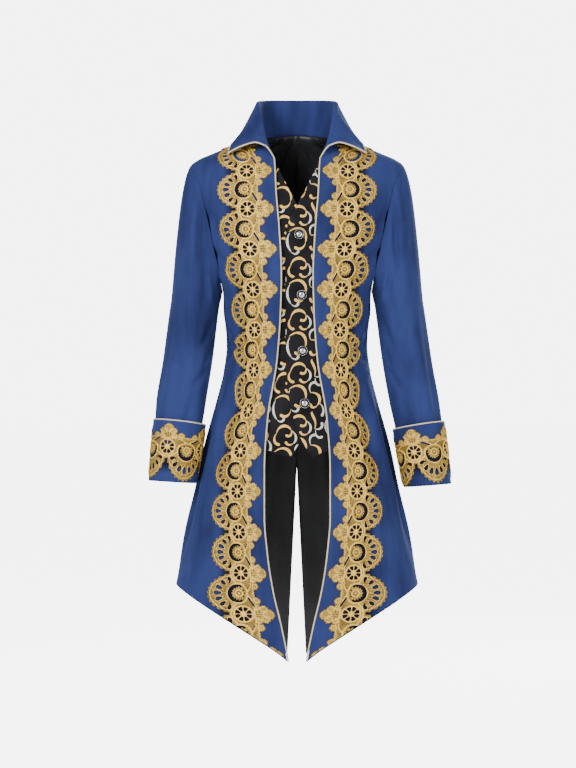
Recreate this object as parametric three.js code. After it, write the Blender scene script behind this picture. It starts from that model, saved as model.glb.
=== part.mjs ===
// A man's frock coat in velvet, filled out as if worn but empty, with its sewn-in waistcoat front.
//
// Millimetres, +Z up. The coat faces -Y, and +X is the wearer's left. The origin is the middle of the neck
// opening, level with the collar's front seam, where the coat hangs from its wearer's shoulders.
//
// The body of the coat is one smooth form, torso(): a stack of horizontal sections, each a squared ellipse whose
// half width, front depth and back depth come from a short table. Every panel is a piece of that form between its
// own edges, given a wall, and whatever is sewn on a panel is the same form moved out or in. The sleeves are
// tubes lofted from the armholes, and the collar is a folded strip lofted round the neckline.

import * as THREE from "three";

// ---------------------------------------------------------------- driving sizes
const SEAM_GAP = 0.3; // between two pieces that are sewn together
const VELVET_WALL = 1.8; // velvet with its interlining
const SATIN_WALL = 1.0; // lining
const BROCADE_WALL = 1.2; // waistcoat front
const LACE_WALL = 1.0;
const LINING_DEPTH = VELVET_WALL + 0.7; // how far the lining lies inside the coat's outer face

const NECK_POINT_Z = 20; // where the shoulder seam meets the collar
const BACK_NECK_Z = 32;
const BREAK_Z = -28; // where the front edge rolls over into the collar
const SHOULDER_POINT_Z = -37;
const ARMPIT_Z = -295;
const VENT_TOP_Z = -645;
const SIDE_HEM_Z = -892; // the skirt's short side
const TIP_Z = -1033; // the fronts' long points
const BACK_TIP_Z = -1056; // the backs' long points, either side of the vent
const TIP_HALF_GAP = 20; // from the centre line to a point of the hem
const HEM_BOW = 0.85; // under 1, the hem between its short side and its point is hollowed, over 1 it is rounded
const QUARTER = Math.PI / 2;

// ---------------------------------------------------------------- tables, a row for each section
// The body at each height: half width at the side, depth in front of and behind the side seam, and how square the
// section is (2 is an ellipse).
const TORSO = [
  { z: -1060, side: 288, front: 160, back: 162, square: 2 },
  { z: -896, side: 249, front: 150, back: 152, square: 2 },
  { z: -824, side: 235, front: 145, back: 146, square: 2 },
  { z: -722, side: 210, front: 138, back: 136, square: 2 },
  { z: -619, side: 188, front: 131, back: 124, square: 1.95 },
  { z: -517, side: 165, front: 123, back: 107, square: 1.9 },
  { z: -455, side: 150, front: 116, back: 94, square: 1.9 },
  { z: -404, side: 144, front: 110, back: 88, square: 1.95 },
  { z: -330, side: 151, front: 115, back: 97, square: 2.05 },
  { z: -295, side: 152, front: 118, back: 102, square: 2.1 },
  { z: -257, side: 170, front: 119, back: 107, square: 2.15 },
  { z: -215, side: 187, front: 117, back: 111, square: 2.15 },
  { z: -168, side: 201, front: 113, back: 113, square: 2.15 },
  { z: -123, side: 212, front: 107, back: 111, square: 2.15 },
  { z: -83, side: 220, front: 98, back: 107, square: 2.1 },
  { z: -60, side: 222, front: 91, back: 103, square: 2.1 },
  { z: -37, side: 218, front: 82, back: 98, square: 2.1 },
  { z: -25, side: 203, front: 77, back: 94, square: 2.1 },
  { z: -14, side: 178, front: 73, back: 90, square: 2.05 },
  { z: -4, side: 154, front: 68, back: 86, square: 2 },
  { z: 8, side: 115, front: 61, back: 80, square: 2 },
  { z: 20, side: 69, front: 54, back: 74, square: 2 },
  { z: 32, side: 62, front: 50, back: 71, square: 2 },
];

// Half the gap between the two front edges.
const FRONT_EDGE = [
  { z: -1060, x: 16 },
  { z: -1033, x: 20 },
  { z: -964, x: 34 },
  { z: -892, x: 51 },
  { z: -820, x: 62 },
  { z: -748, x: 68 },
  { z: -652, x: 68 },
  { z: -556, x: 62 },
  { z: -436, x: 43 },
  { z: -340, x: 36 },
  { z: -268, x: 34 },
  { z: -172, x: 38.5 },
  { z: -100, x: 44.5 },
  { z: -28, x: 48.5 },
  { z: -14, x: 56 },
  { z: -4, x: 61 },
  { z: 8, x: 66 },
  { z: 14, x: 68 },
  { z: 20, x: 69 },
];

// The armhole seam, from the armpit to the shoulder point.
const ARMHOLE = [
  { z: -295, front: 152, back: 152 },
  { z: -257, front: 157, back: 161 },
  { z: -215, front: 167, back: 173 },
  { z: -168, front: 177, back: 184 },
  { z: -123, front: 187, back: 194 },
  { z: -83, front: 197, back: 203 },
  { z: -60, front: 207, back: 210 },
  { z: -37, front: 218, back: 218 },
];

// Where a line across a front panel starts at the front edge and ends at the side seam or the armhole.
const FRONT_ROWS = [
  { edge: TIP_Z, side: SIDE_HEM_Z },
  { edge: -960, side: -852 },
  { edge: -880, side: -800 },
  { edge: -800, side: -745 },
  { edge: -730, side: -690 },
  { edge: -660, side: -632 },
  { edge: -590, side: -572 },
  { edge: -525, side: -517 },
  { edge: -465, side: -463 },
  { edge: -404, side: -404 },
  { edge: -345, side: -347 },
  { edge: -290, side: ARMPIT_Z },
  { edge: -236, side: -250 },
  { edge: -180, side: -205 },
  { edge: -130, side: -163 },
  { edge: -82, side: -122 },
  { edge: BREAK_Z, side: -84 },
  { edge: -10, side: -60 },
  { edge: 6, side: -46 },
  { edge: NECK_POINT_Z, side: SHOULDER_POINT_Z },
];

// The same for a back panel, from the centre back. turn is how far round the neckline the line starts, in degrees
// from the centre back to the shoulder seam.
const BACK_ROWS = [
  { middle: BACK_TIP_Z, side: SIDE_HEM_Z, turn: 0 },
  { middle: -975, side: -852, turn: 0 },
  { middle: -890, side: -800, turn: 0 },
  { middle: -805, side: -745, turn: 0 },
  { middle: -723, side: -690, turn: 0 },
  { middle: VENT_TOP_Z, side: -632, turn: 0 },
  { middle: -580, side: -572, turn: 0 },
  { middle: -520, side: -517, turn: 0 },
  { middle: -463, side: -463, turn: 0 },
  { middle: -404, side: -404, turn: 0 },
  { middle: -345, side: -347, turn: 0 },
  { middle: -290, side: ARMPIT_Z, turn: 0 },
  { middle: -225, side: -250, turn: 0 },
  { middle: -160, side: -205, turn: 0 },
  { middle: -95, side: -163, turn: 0 },
  { middle: -30, side: -122, turn: 0 },
  { middle: BACK_NECK_Z, side: -84, turn: 0 },
  { middle: BACK_NECK_Z, side: -60, turn: 35 },
  { middle: BACK_NECK_Z, side: -46, turn: 63 },
  { middle: BACK_NECK_Z, side: SHOULDER_POINT_Z, turn: 90 },
];

// The arms' centre lines below the armpit, wearer's left and right: height, distance out to the side, distance
// forward, and the sleeve's half width and half depth.
const ARMS = {
  left: [
    { z: -689, out: 265, forward: 35, wide: 44, deep: 42 },
    { z: -619, out: 254.5, forward: 31, wide: 45.5, deep: 44 },
    { z: -558, out: 245, forward: 26, wide: 47.5, deep: 46 },
    { z: -517, out: 238, forward: 21, wide: 49.5, deep: 49 },
    { z: -414, out: 221.5, forward: 8, wide: 50.5, deep: 54 },
    { z: -330, out: 210.5, forward: 1, wide: 50, deep: 59 },
  ],
  right: [
    { z: -682, out: 253.5, forward: 35, wide: 44, deep: 42 },
    { z: -619, out: 246, forward: 31, wide: 45.5, deep: 44 },
    { z: -558, out: 239.5, forward: 26, wide: 47.5, deep: 46 },
    { z: -517, out: 235, forward: 21, wide: 49.5, deep: 49 },
    { z: -414, out: 220.5, forward: 8, wide: 50.5, deep: 54 },
    { z: -330, out: 210, forward: 1, wide: 50, deep: 59 },
  ],
};
const CUFF_HEIGHT = 118;
const CUFF_STANDOFF = { top: 4.6, bottom: 2.6 }; // outer face of the cuff from the sleeve's, less the cuff's wall
const CUFF_WALL = 2.2;
const CUFF_LACE = { bottom: 2, top: 114 }; // up the cuff from its fold

// The collar: a section for each station from the centre back to the break. seam is how far along the neckline
// the section stands (0 centre back, 1 shoulder seam, 2 break); the fold and the outer edge are points.
const COLLAR = [
  { seam: 0, fold: [0, 84, 108], edge: [0, 106, 22] },
  { seam: 0.35, fold: [40, 74, 107], edge: [52, 96, 20] },
  { seam: 0.68, fold: [66, 48, 103], edge: [94, 66, 16] },
  { seam: 1, fold: [77, 8, 95], edge: [120, 14, 15] },
  { seam: 1.3, fold: [74, -27, 70], edge: [131, -35, 7] },
  { seam: 1.52, fold: [69, -50, 42], edge: [138, -64, -16] },
  { seam: 1.68, fold: [65, -62, 20], edge: [111, -79, -4] },
  { seam: 1.82, fold: [60, -70, 3], edge: [84, -84, 2] },
  { seam: 1.93, fold: [54, -77, -12], edge: [64, -87, -5] },
];
const COLLAR_WALL = 2.4;
const COLLAR_LIFT = 1.2; // the collar's foot above the neckline seam
const FOLD_RADIUS = 4;

// The waistcoat front, from the top of its V neck to its point: height and place of its front edge, and height of
// its other end, which is sewn inside the coat's front. The wearer's left laps over the right.
const WAISTCOAT = {
  left: [
    { z: -40, x: 42, side: -40 },
    { z: -80, x: 22, side: -80 },
    { z: -122, x: 1, side: -122 },
    { z: -164, x: -19, side: -164 },
    { z: -210, x: -24, side: -210 },
    { z: -270, x: -24, side: -270 },
    { z: -330, x: -24, side: -330 },
    { z: -390, x: -24, side: -390 },
    { z: -450, x: -23, side: -450 },
    { z: -510, x: -17, side: -510 },
    { z: -560, x: -6, side: -560 },
    { z: -604, x: 12, side: -590 },
    { z: -629, x: 31, side: -608 },
  ],
  right: [
    { z: -40, x: 42, side: -40 },
    { z: -80, x: 22, side: -80 },
    { z: -122, x: 1, side: -122 },
    { z: -158, x: -17, side: -158 },
    { z: -210, x: -21, side: -210 },
    { z: -270, x: -21, side: -270 },
    { z: -330, x: -21, side: -330 },
    { z: -390, x: -21, side: -390 },
    { z: -450, x: -20, side: -450 },
    { z: -510, x: -19, side: -510 },
    { z: -560, x: -14, side: -560 },
    { z: -604, x: -3, side: -590 },
    { z: -629, x: 13, side: -610 },
  ],
};
const WAISTCOAT_DEPTH = { left: 5, right: 8 }; // below the coat's outer face
const WAISTCOAT_TUCK = 22; // how far it runs on behind the coat's front edge
const BUTTONS = [
  { z: -184, x: 4 },
  { z: -306, x: 9 },
  { z: -417, x: 11 },
  { z: -522, x: 15 },
];
const BUTTON = { radius: 11, height: 3.4, dome: 6.2 };

// The lace down the fronts: its outer edge, and the repeat of fans on the outside and spurs on the inside.
const LACE_OUTER = [
  { z: -1033, x: 190 },
  { z: -900, x: 180 },
  { z: -812, x: 170 },
  { z: -726, x: 171 },
  { z: -648, x: 165 },
  { z: -566, x: 146 },
  { z: -497, x: 128 },
  { z: -406, x: 129 },
  { z: -329, x: 133 },
  { z: -252, x: 146 },
  { z: -174, x: 160 },
  { z: -60, x: 162 },
  { z: 20, x: 162 },
];
const LACE_PITCH = 80.8; // from one rosette to the next
const FIRST_ROSETTE_Z = -52;
const LACE_TOP_Z = 2; // under the collar
const LACE_EDGE_MARGIN = 5; // from the front edge to the tips of the spurs
const LACE_STANDOFF = 2.1; // the lace's inner face above the velvet
const FAN_DIP = 0.13; // how far the outline falls back between fans, and between spurs, as shares of the width
const SPUR_DIP = 0.24;

const PIPING_RADIUS = 1.5;

// ---------------------------------------------------------------- colours
const velvet = new THREE.MeshStandardMaterial({ color: 0x24407f, roughness: 0.75 });
const satin = new THREE.MeshStandardMaterial({ color: 0x101014, roughness: 0.45 });
const brocade = new THREE.MeshStandardMaterial({ color: 0x1a191c, roughness: 0.6 });
const lace = new THREE.MeshStandardMaterial({ color: 0xc9a04e, roughness: 0.55 });
const piping = new THREE.MeshStandardMaterial({ color: 0xd9c9a0, roughness: 0.4 });
const button = new THREE.MeshStandardMaterial({ color: 0x8d8d90, roughness: 0.3, metalness: 0.9 });

// ---------------------------------------------------------------- small tools
const clamp = (value, low, high) => Math.min(high, Math.max(low, value));
const mix = (a, b, share) => a + (b - a) * share;
const mixPoint = (a, b, share) => a.map((value, k) => mix(value, b[k], share));
const add = (a, b, scale = 1) => a.map((value, k) => value + b[k] * scale);
const minus = (a, b) => add(a, b, -1);
const cross = (a, b) => [
  a[1] * b[2] - a[2] * b[1],
  a[2] * b[0] - a[0] * b[2],
  a[0] * b[1] - a[1] * b[0],
];
const unit = (a) => {
  const length = Math.hypot(...a);
  return a.map((value) => value / length);
};

// A smooth curve through one column of a table, with no overshoot between its rows.
function lookup(table, column, value, along = "z") {
  const rows = [...table].sort((a, b) => a[along] - b[along]);
  const x = rows.map((row) => row[along]);
  const y = rows.map((row) => row[column]);
  const at = clamp(value, x[0], x.at(-1));
  const slope = x.slice(1).map((end, k) => (y[k + 1] - y[k]) / (end - x[k]));
  const tangent = y.map((_, k) => {
    const [before, after] = [slope[Math.max(k - 1, 0)], slope[Math.min(k, slope.length - 1)]];
    return before * after <= 0 ? 0 : (2 * before * after) / (before + after);
  });
  const k = clamp(x.findLastIndex((start) => start <= at), 0, slope.length - 1);
  const width = x[k + 1] - x[k];
  const t = (at - x[k]) / width;
  return (
    y[k] * (1 + 2 * t) * (1 - t) ** 2 +
    tangent[k] * width * t * (1 - t) ** 2 +
    y[k + 1] * t ** 2 * (3 - 2 * t) +
    tangent[k + 1] * width * t ** 2 * (t - 1)
  );
}

// A closed wall between two grids of points. A grid that wraps is a tube, open at both ends.
function wall(outer, inner, wraps = false) {
  const rows = outer.length;
  const columns = outer[0].length;
  const vertices = [...outer.flat(), ...inner.flat()];
  const index = (layer, row, column) => (layer * rows + row) * columns + (column % columns);
  const faces = [];
  const quad = (a, b, c, d) => faces.push(a, b, c, a, c, d);
  const across = wraps ? columns : columns - 1;
  for (let c = 0; c < across; c++) {
    for (let r = 0; r < rows - 1; r++) {
      quad(index(0, r, c), index(0, r, c + 1), index(0, r + 1, c + 1), index(0, r + 1, c));
      quad(index(1, r, c), index(1, r + 1, c), index(1, r + 1, c + 1), index(1, r, c + 1));
    }
    const top = rows - 1;
    quad(index(1, 0, c), index(1, 0, c + 1), index(0, 0, c + 1), index(0, 0, c));
    quad(index(0, top, c), index(0, top, c + 1), index(1, top, c + 1), index(1, top, c));
  }
  if (!wraps) {
    const last = columns - 1;
    for (let r = 0; r < rows - 1; r++) {
      quad(index(0, r, 0), index(0, r + 1, 0), index(1, r + 1, 0), index(1, r, 0));
      quad(index(0, r, last), index(1, r, last), index(1, r + 1, last), index(0, r + 1, last));
    }
  }
  return facingOut(vertices, faces);
}

// A grid of points moved along its own normals, found from the points beside each.
function moved(grid, distance, wraps = false) {
  return grid.map((line, r) =>
    line.map((point, c) => {
      const last = line.length - 1;
      const next = wraps ? line[(c + 1) % line.length] : line[Math.min(c + 1, last)];
      const before = wraps ? line.at(c - 1) : line[Math.max(c - 1, 0)];
      const along = minus(grid[Math.min(r + 1, grid.length - 1)][c], grid[Math.max(r - 1, 0)][c]);
      return add(point, unit(cross(along, minus(next, before))), distance);
    }),
  );
}

// The geometry with its faces turned out, whichever way round its grid ran.
function facingOut(vertices, faces) {
  let volume = 0;
  for (let k = 0; k < faces.length; k += 3) {
    const [a, b, c] = [vertices[faces[k]], vertices[faces[k + 1]], vertices[faces[k + 2]]];
    volume += a[0] * (b[1] * c[2] - b[2] * c[1]);
    volume += a[1] * (b[2] * c[0] - b[0] * c[2]);
    volume += a[2] * (b[0] * c[1] - b[1] * c[0]);
  }
  if (volume < 0) faces.reverse();
  const geometry = new THREE.BufferGeometry();
  geometry.setAttribute("position", new THREE.Float32BufferAttribute(vertices.flat(), 3));
  geometry.setIndex(faces);
  geometry.computeVertexNormals();
  return geometry;
}

// Numbers from 0 to 1 in even steps.
const steps = (count) => Array.from({ length: count + 1 }, (_, k) => k / count);

const coat = new THREE.Group();
function piece(name, geometry, material) {
  const mesh = new THREE.Mesh(geometry, material);
  mesh.name = name;
  coat.add(mesh);
  return mesh;
}

// ---------------------------------------------------------------- the body's form
// A point of the form. turn goes from 0 at the centre front, over a quarter at the side seam, to a half at the
// centre back; side is 1 for the wearer's left and -1 for the right.
function onForm(turn, z, side) {
  const bend = 2 / lookup(TORSO, "square", z);
  const depth = turn < QUARTER ? -lookup(TORSO, "front", z) : lookup(TORSO, "back", z);
  const x = lookup(TORSO, "side", z) * Math.max(Math.sin(turn), 0) ** bend;
  return [side * x, depth * Math.abs(Math.cos(turn)) ** bend, z];
}

// The outward direction there, from the form's own slopes.
function outward(turn, z, side) {
  const small = 0.004;
  const t = clamp(turn, small, Math.PI - small);
  const round = minus(onForm(t + small, z, 1), onForm(t - small, z, 1));
  const up = minus(onForm(t, z + 1, 1), onForm(t, z - 1, 1));
  const normal = unit(cross(round, up));
  return [side * normal[0], normal[1], normal[2]];
}

// A point at a distance out from the form. A turn below 0 is across the centre front, on the other side.
function torso(turn, z, side, out = 0) {
  const away = turn < 0 ? -side : side;
  return add(onForm(Math.abs(turn), z, away), outward(Math.abs(turn), z, away), out);
}

// How far round the form a given distance from the centre plane is, in front.
function turnAt(x, z) {
  const share = clamp(Math.abs(x) / lookup(TORSO, "side", z), 0, 1);
  return Math.sign(x) * Math.asin(share ** (lookup(TORSO, "square", z) / 2));
}

const frontEdgeTurn = (z) => turnAt(lookup(FRONT_EDGE, "x", z), z);
const armholeTurn = (z, half) => (z <= ARMPIT_Z ? QUARTER : turnAt(lookup(ARMHOLE, half, z), z));

// How far short of the side line a panel stops, for half of the seam gap.
const gapTurn = (z) => (SEAM_GAP / 2 / lookup(TORSO, "front", z)) ** (lookup(TORSO, "square", z) / 2);

// ---------------------------------------------------------------- panels of the body
// A line across a panel runs from one end to the other, and drops evenly with its distance out to the side.
function acrossLine(start, end, share) {
  const turn = mix(start.turn, end.turn, share);
  const reach = Math.abs(Math.sin(end.turn) - Math.sin(start.turn));
  const drop = reach < 1e-3 ? share : (Math.abs(Math.sin(turn) - Math.sin(start.turn)) / reach) ** HEM_BOW;
  return { turn, z: mix(start.z, end.z, drop) };
}

function frontLine(row, share) {
  const start = { turn: Math.min(frontEdgeTurn(row.edge), QUARTER - gapTurn(row.edge)), z: row.edge };
  const end = { turn: armholeTurn(row.side, "front") - gapTurn(row.side), z: row.side };
  return acrossLine(start, end, share);
}

function backLine(row, share) {
  const turned = (row.turn * Math.PI) / 180;
  const opening = clamp((VENT_TOP_Z - row.middle) / (VENT_TOP_Z - BACK_TIP_Z), 0, 1) * TIP_HALF_GAP;
  const aside = turned + turnAt(opening + SEAM_GAP / 2, row.middle);
  const start = {
    turn: Math.max(Math.PI - aside, QUARTER + gapTurn(NECK_POINT_Z)),
    z: mix(row.middle, NECK_POINT_Z, Math.sin(turned) ** 2),
  };
  const end = { turn: Math.PI - armholeTurn(row.side, "back") + gapTurn(row.side), z: row.side };
  const line = acrossLine({ ...start, turn: Math.PI - start.turn }, { ...end, turn: Math.PI - end.turn }, share);
  return { turn: Math.PI - line.turn, z: line.z };
}

// The places on the form of a panel's corners: rows of lines, cut into columns.
const places = (rows, line, columns) => rows.map((row) => steps(columns).map((share) => line(row, share)));

function panel(corners, side, depth, thickness) {
  const grid = (out) => corners.map((row) => row.map(({ turn, z }) => torso(turn, z, side, out)));
  return wall(grid(-depth), grid(-depth - thickness));
}

const frontPlaces = places(FRONT_ROWS, frontLine, 7);
const backPlaces = places(BACK_ROWS, backLine, 7);

// A way to lay things on a panel: a point of its facets at a turn and a height, moved out.
function layOn(corners, side, depth) {
  const facets = corners.slice(1).flatMap((row, r) =>
    row.slice(1).flatMap((_, c) => {
      const [a, b, d, e] = [corners[r][c], corners[r][c + 1], corners[r + 1][c + 1], corners[r + 1][c]];
      return [
        [a, b, d],
        [a, d, e],
      ];
    }),
  );
  const weights = ([a, b, c], turn, z) => {
    const area = (b.turn - a.turn) * (c.z - a.z) - (c.turn - a.turn) * (b.z - a.z);
    const second = ((turn - a.turn) * (c.z - a.z) - (c.turn - a.turn) * (z - a.z)) / area;
    const third = ((b.turn - a.turn) * (z - a.z) - (turn - a.turn) * (b.z - a.z)) / area;
    return [1 - second - third, second, third];
  };
  return (turn, z, out) => {
    const found = facets
      .map((facet) => ({ facet, shares: weights(facet, turn, z) }))
      .reduce((best, next) => (Math.min(...next.shares) > Math.min(...best.shares) ? next : best));
    const flat = [0, 1, 2].map((k) =>
      found.facet.reduce((sum, at, n) => sum + found.shares[n] * torso(at.turn, at.z, side, -depth)[k], 0),
    );
    return add(flat, outward(Math.abs(turn), z, turn < 0 ? -side : side), out);
  };
}

// ---------------------------------------------------------------- sleeves
// The armhole seam, all the way round: 0 at the shoulder point, a quarter in front, a half at the armpit.
function armholePoint(round, side) {
  const down = (1 - Math.cos(round)) / 2;
  const z = mix(SHOULDER_POINT_Z, ARMPIT_Z, down);
  const inFront = Math.sin(round) >= 0;
  const turn = armholeTurn(z, inFront ? "front" : "back");
  return onForm(inFront ? turn : Math.PI - turn, z, side);
}

// A ring of the sleeve below the armpit, square to the arm.
function armPoint(arm, z, round, side, out = 0) {
  const centre = (height) => [lookup(arm, "out", height), -lookup(arm, "forward", height), height];
  const along = unit(minus(centre(z - 4), centre(z + 4)));
  const sideways = unit(add([1, 0, 0], along, -along[0]));
  const forward = unit(cross(along, sideways));
  const wide = (lookup(arm, "wide", z) + out) * Math.cos(round);
  const deep = (lookup(arm, "deep", z) + out) * Math.sin(round);
  const point = add(add(centre(z), sideways, wide), forward[1] < 0 ? forward : forward.map((v) => -v), deep);
  return [side * point[0], point[1], point[2]];
}

const AROUND_ARM = 16; // facets round a sleeve or a cuff
const HEAD_BOTTOM_Z = -330;
// Which way, and how strongly, the sleeve leaves the armhole: over the top, in front and behind, and underneath.
function leavingDirection(round, side) {
  const over = Math.max(Math.cos(round), 0) ** 1.5;
  const under = Math.max(-Math.cos(round), 0) ** 1.5;
  const middle = 1 - over - under;
  const x = 78 * over + 70 * middle + 6 * under;
  const y = -40 * Math.sin(round) * middle;
  const z = -(120 * over + 110 * middle + 30 * under);
  return [side * x, y, z];
}

function sleevePoint(arm, down, round, side) {
  if (down >= 1) return armPoint(arm, mix(HEAD_BOTTOM_Z, arm[0].z, down - 1), round, side);
  const start = add(armholePoint(round, side), [side, 0, 0], SEAM_GAP + VELVET_WALL);
  const end = armPoint(arm, HEAD_BOTTOM_Z, round, side);
  const onward = minus(armPoint(arm, HEAD_BOTTOM_Z - 10, round, side), end);
  const span = Math.hypot(...minus(end, start));
  const t = down;
  const leave = leavingDirection(round, side);
  return [0, 1, 2].map(
    (k) =>
      start[k] * (1 + 2 * t) * (1 - t) ** 2 +
      leave[k] * t * (1 - t) ** 2 +
      end[k] * t ** 2 * (3 - 2 * t) +
      onward[k] * (span / 10) * 0.8 * t ** 2 * (t - 1),
  );
}

function sleeve(name, side) {
  const arm = ARMS[name];
  const levels = [0, 0.08, 0.22, 0.42, 0.68, 1, 1.22, 1.44, 1.64, 1.82, 2];
  const grid = levels.map((down) =>
    steps(AROUND_ARM)
      .slice(0, -1)
      .map((share) => sleevePoint(arm, down, share * 2 * Math.PI, side)),
  );
  return wall(grid, moved(grid, side * VELVET_WALL, true), true);
}

// A ring or band round the end of a sleeve, between two heights up the cuff, at a distance out from the sleeve.
function cuffBand(name, side, levels, standoff, thickness) {
  const arm = ARMS[name];
  const grid = (extra) =>
    levels.map((up) =>
      steps(AROUND_ARM)
        .slice(0, -1)
        .map((share) => armPoint(arm, arm[0].z + up, share * 2 * Math.PI, side, standoff(up) + extra)),
    );
  return wall(grid(thickness), grid(0), true);
}

const cuffGap = (up) => mix(CUFF_STANDOFF.bottom, CUFF_STANDOFF.top, up / CUFF_HEIGHT);

// ---------------------------------------------------------------- collar
function necklinePoint(seam, side) {
  if (seam <= 1) {
    const turned = seam * QUARTER;
    return onForm(Math.PI - turned, mix(BACK_NECK_Z, NECK_POINT_Z, Math.sin(turned) ** 2), side);
  }
  const z = mix(NECK_POINT_Z, BREAK_Z, (seam - 1) ** 1.6);
  return onForm(Math.min(frontEdgeTurn(z), QUARTER), z, side);
}

// The middle of the collar's cloth at one station: up the stand, round the fold and down to the edge.
function collarProfile(station, side) {
  const mirrored = (point) => [side * point[0], point[1], point[2]];
  const foot = add(necklinePoint(station.seam, side), [0, 0, COLLAR_LIFT + COLLAR_WALL / 2]);
  const fold = mirrored(station.fold);
  const edge = mirrored(station.edge);
  const rise = minus(fold, foot);
  const radius = Math.min(FOLD_RADIUS, Math.hypot(...rise) * 0.18);
  const up = unit(rise);
  const towards = minus(edge, foot);
  const outwards = unit(add(towards, up, -up.reduce((sum, value, k) => sum + value * towards[k], 0)));
  const centre = add(add(fold, up, -radius), outwards, radius);
  const stand = steps(3)
    .slice(0, -1)
    .map((share) => mixPoint(foot, add(fold, up, -radius), share));
  const bend = steps(4).map((share) => {
    const a = share * Math.PI;
    return add(add(centre, outwards, -radius * Math.cos(a)), up, radius * Math.sin(a));
  });
  const start = bend.at(-1);
  const bulge = Math.hypot(...minus(edge, start)) * 0.012;
  const fall = steps(4)
    .slice(1)
    .map((share) => add(mixPoint(start, edge, share), outwards, bulge * Math.sin(share * Math.PI)));
  return [...stand, ...bend, ...fall];
}

function collar() {
  const right = [...COLLAR].reverse().map((station) => collarProfile(station, -1));
  const left = COLLAR.slice(1).map((station) => collarProfile(station, 1));
  const grid = [...right, ...left];
  return wall(moved(grid, COLLAR_WALL / 2), moved(grid, -COLLAR_WALL / 2));
}

// ---------------------------------------------------------------- piping
// A cord through points: straight between them, so that it runs level with the facets beside it.
function cord(points, closed = false) {
  const sides = 5;
  const count = points.length;
  const grid = points.map((point, k) => {
    const next = closed ? points[(k + 1) % count] : points[Math.min(k + 1, count - 1)];
    const before = closed ? points.at(k - 1) : points[Math.max(k - 1, 0)];
    const along = unit(minus(next, before));
    const across = unit(cross(along, unit([point[0] * 0.2, point[1], 0.01])));
    const third = cross(along, across);
    return steps(sides)
      .slice(0, -1)
      .map((share) => {
        const a = share * 2 * Math.PI;
        return add(add(point, across, PIPING_RADIUS * Math.cos(a)), third, PIPING_RADIUS * Math.sin(a));
      });
  });
  const vertices = [...grid.flat(), points[0], points.at(-1)];
  const index = (r, c) => (r % count) * sides + (c % sides);
  const faces = [];
  for (let c = 0; c < sides; c++) {
    for (let r = 0; r < (closed ? count : count - 1); r++) {
      faces.push(index(r, c), index(r, c + 1), index(r + 1, c + 1));
      faces.push(index(r, c), index(r + 1, c + 1), index(r + 1, c));
    }
    if (closed) continue;
    faces.push(index(0, c + 1), index(0, c), count * sides);
    faces.push(index(count - 1, c), index(count - 1, c + 1), count * sides + 1);
  }
  return facingOut(closed ? grid.flat() : vertices, faces);
}

// Down the front edge, just clear of the cloth.
function frontPiping(side) {
  const clear = PIPING_RADIUS + SEAM_GAP + 1.3;
  const heights = FRONT_ROWS.map((row) => row.edge).filter((z) => z <= BREAK_Z);
  const between = heights.slice(1).map((z, k) => (z + heights[k]) / 2);
  const onFront = layOn(frontPlaces, side, VELVET_WALL / 2);
  const path = [...heights, ...between]
    .sort((a, b) => b - a)
    .map((z) => {
      const edge = onFront(frontEdgeTurn(z) + 0.001, z, 0);
      const across = unit(minus(onFront(frontEdgeTurn(z) + 0.03, z, 0), edge));
      return add(edge, across, -clear);
    });
  return cord(path);
}

// Round the collar's outer edge, from break to break.
function collarPiping() {
  const clear = PIPING_RADIUS + SEAM_GAP + 1.9;
  const edgeOf = (side) => (station) => {
    const profile = collarProfile(station, side);
    const edge = profile.at(-1);
    return add(edge, unit(minus(edge, profile.at(-2))), clear);
  };
  return cord([...[...COLLAR].reverse().map(edgeOf(-1)), ...COLLAR.slice(1).map(edgeOf(1))]);
}

// A ring of piping along the top of a cuff.
function cuffPiping(name, side) {
  const arm = ARMS[name];
  const up = arm[0].z + CUFF_HEIGHT + SEAM_GAP + 0.1 + PIPING_RADIUS;
  const out = cuffGap(CUFF_HEIGHT) + CUFF_WALL / 2;
  const round = steps(AROUND_ARM).slice(0, -1);
  return cord(
    round.map((share) => armPoint(arm, up, share * 2 * Math.PI, side, out)),
    true,
  );
}

// ---------------------------------------------------------------- waistcoat front and its buttons
const waistcoatPlaces = (name) =>
  WAISTCOAT[name].map((row) =>
    steps(5).map((share) => {
      const end = lookup(FRONT_EDGE, "x", row.side) + WAISTCOAT_TUCK;
      const z = mix(row.z, row.side, share);
      return { turn: turnAt(mix(row.x, end, share), z), z };
    }),
  );

function waistcoatButton({ x, z }) {
  const { radius, height, dome } = BUTTON;
  const profile = [
    [0, 0],
    [radius * 0.9, 0],
    [radius, height * 0.35],
    [radius * 0.92, height * 0.75],
    [dome, height * 0.7],
    [dome * 0.7, height * 0.95],
    [0, height * 1.15],
  ].map(([r, h]) => new THREE.Vector2(r, h));
  const geometry = new THREE.LatheGeometry(profile, 16);
  const turn = turnAt(x, z);
  const seat = layOn(waistcoatPlaces("left"), 1, WAISTCOAT_DEPTH.left)(turn, z, SEAM_GAP + 0.4);
  const away = new THREE.Vector3(...outward(turn, z, 1));
  const lean = new THREE.Quaternion().setFromUnitVectors(new THREE.Vector3(0, 1, 0), away);
  return geometry.applyQuaternion(lean).translate(...seat);
}

// ---------------------------------------------------------------- lace
// How far the outline of the lace falls back at a height: 0 at the tip of a fan or spur, 1 between two of them.
const between = (z, phase) => (1 - Math.cos(((z - FIRST_ROSETTE_Z) / LACE_PITCH + phase) * 2 * Math.PI)) / 2;

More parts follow.
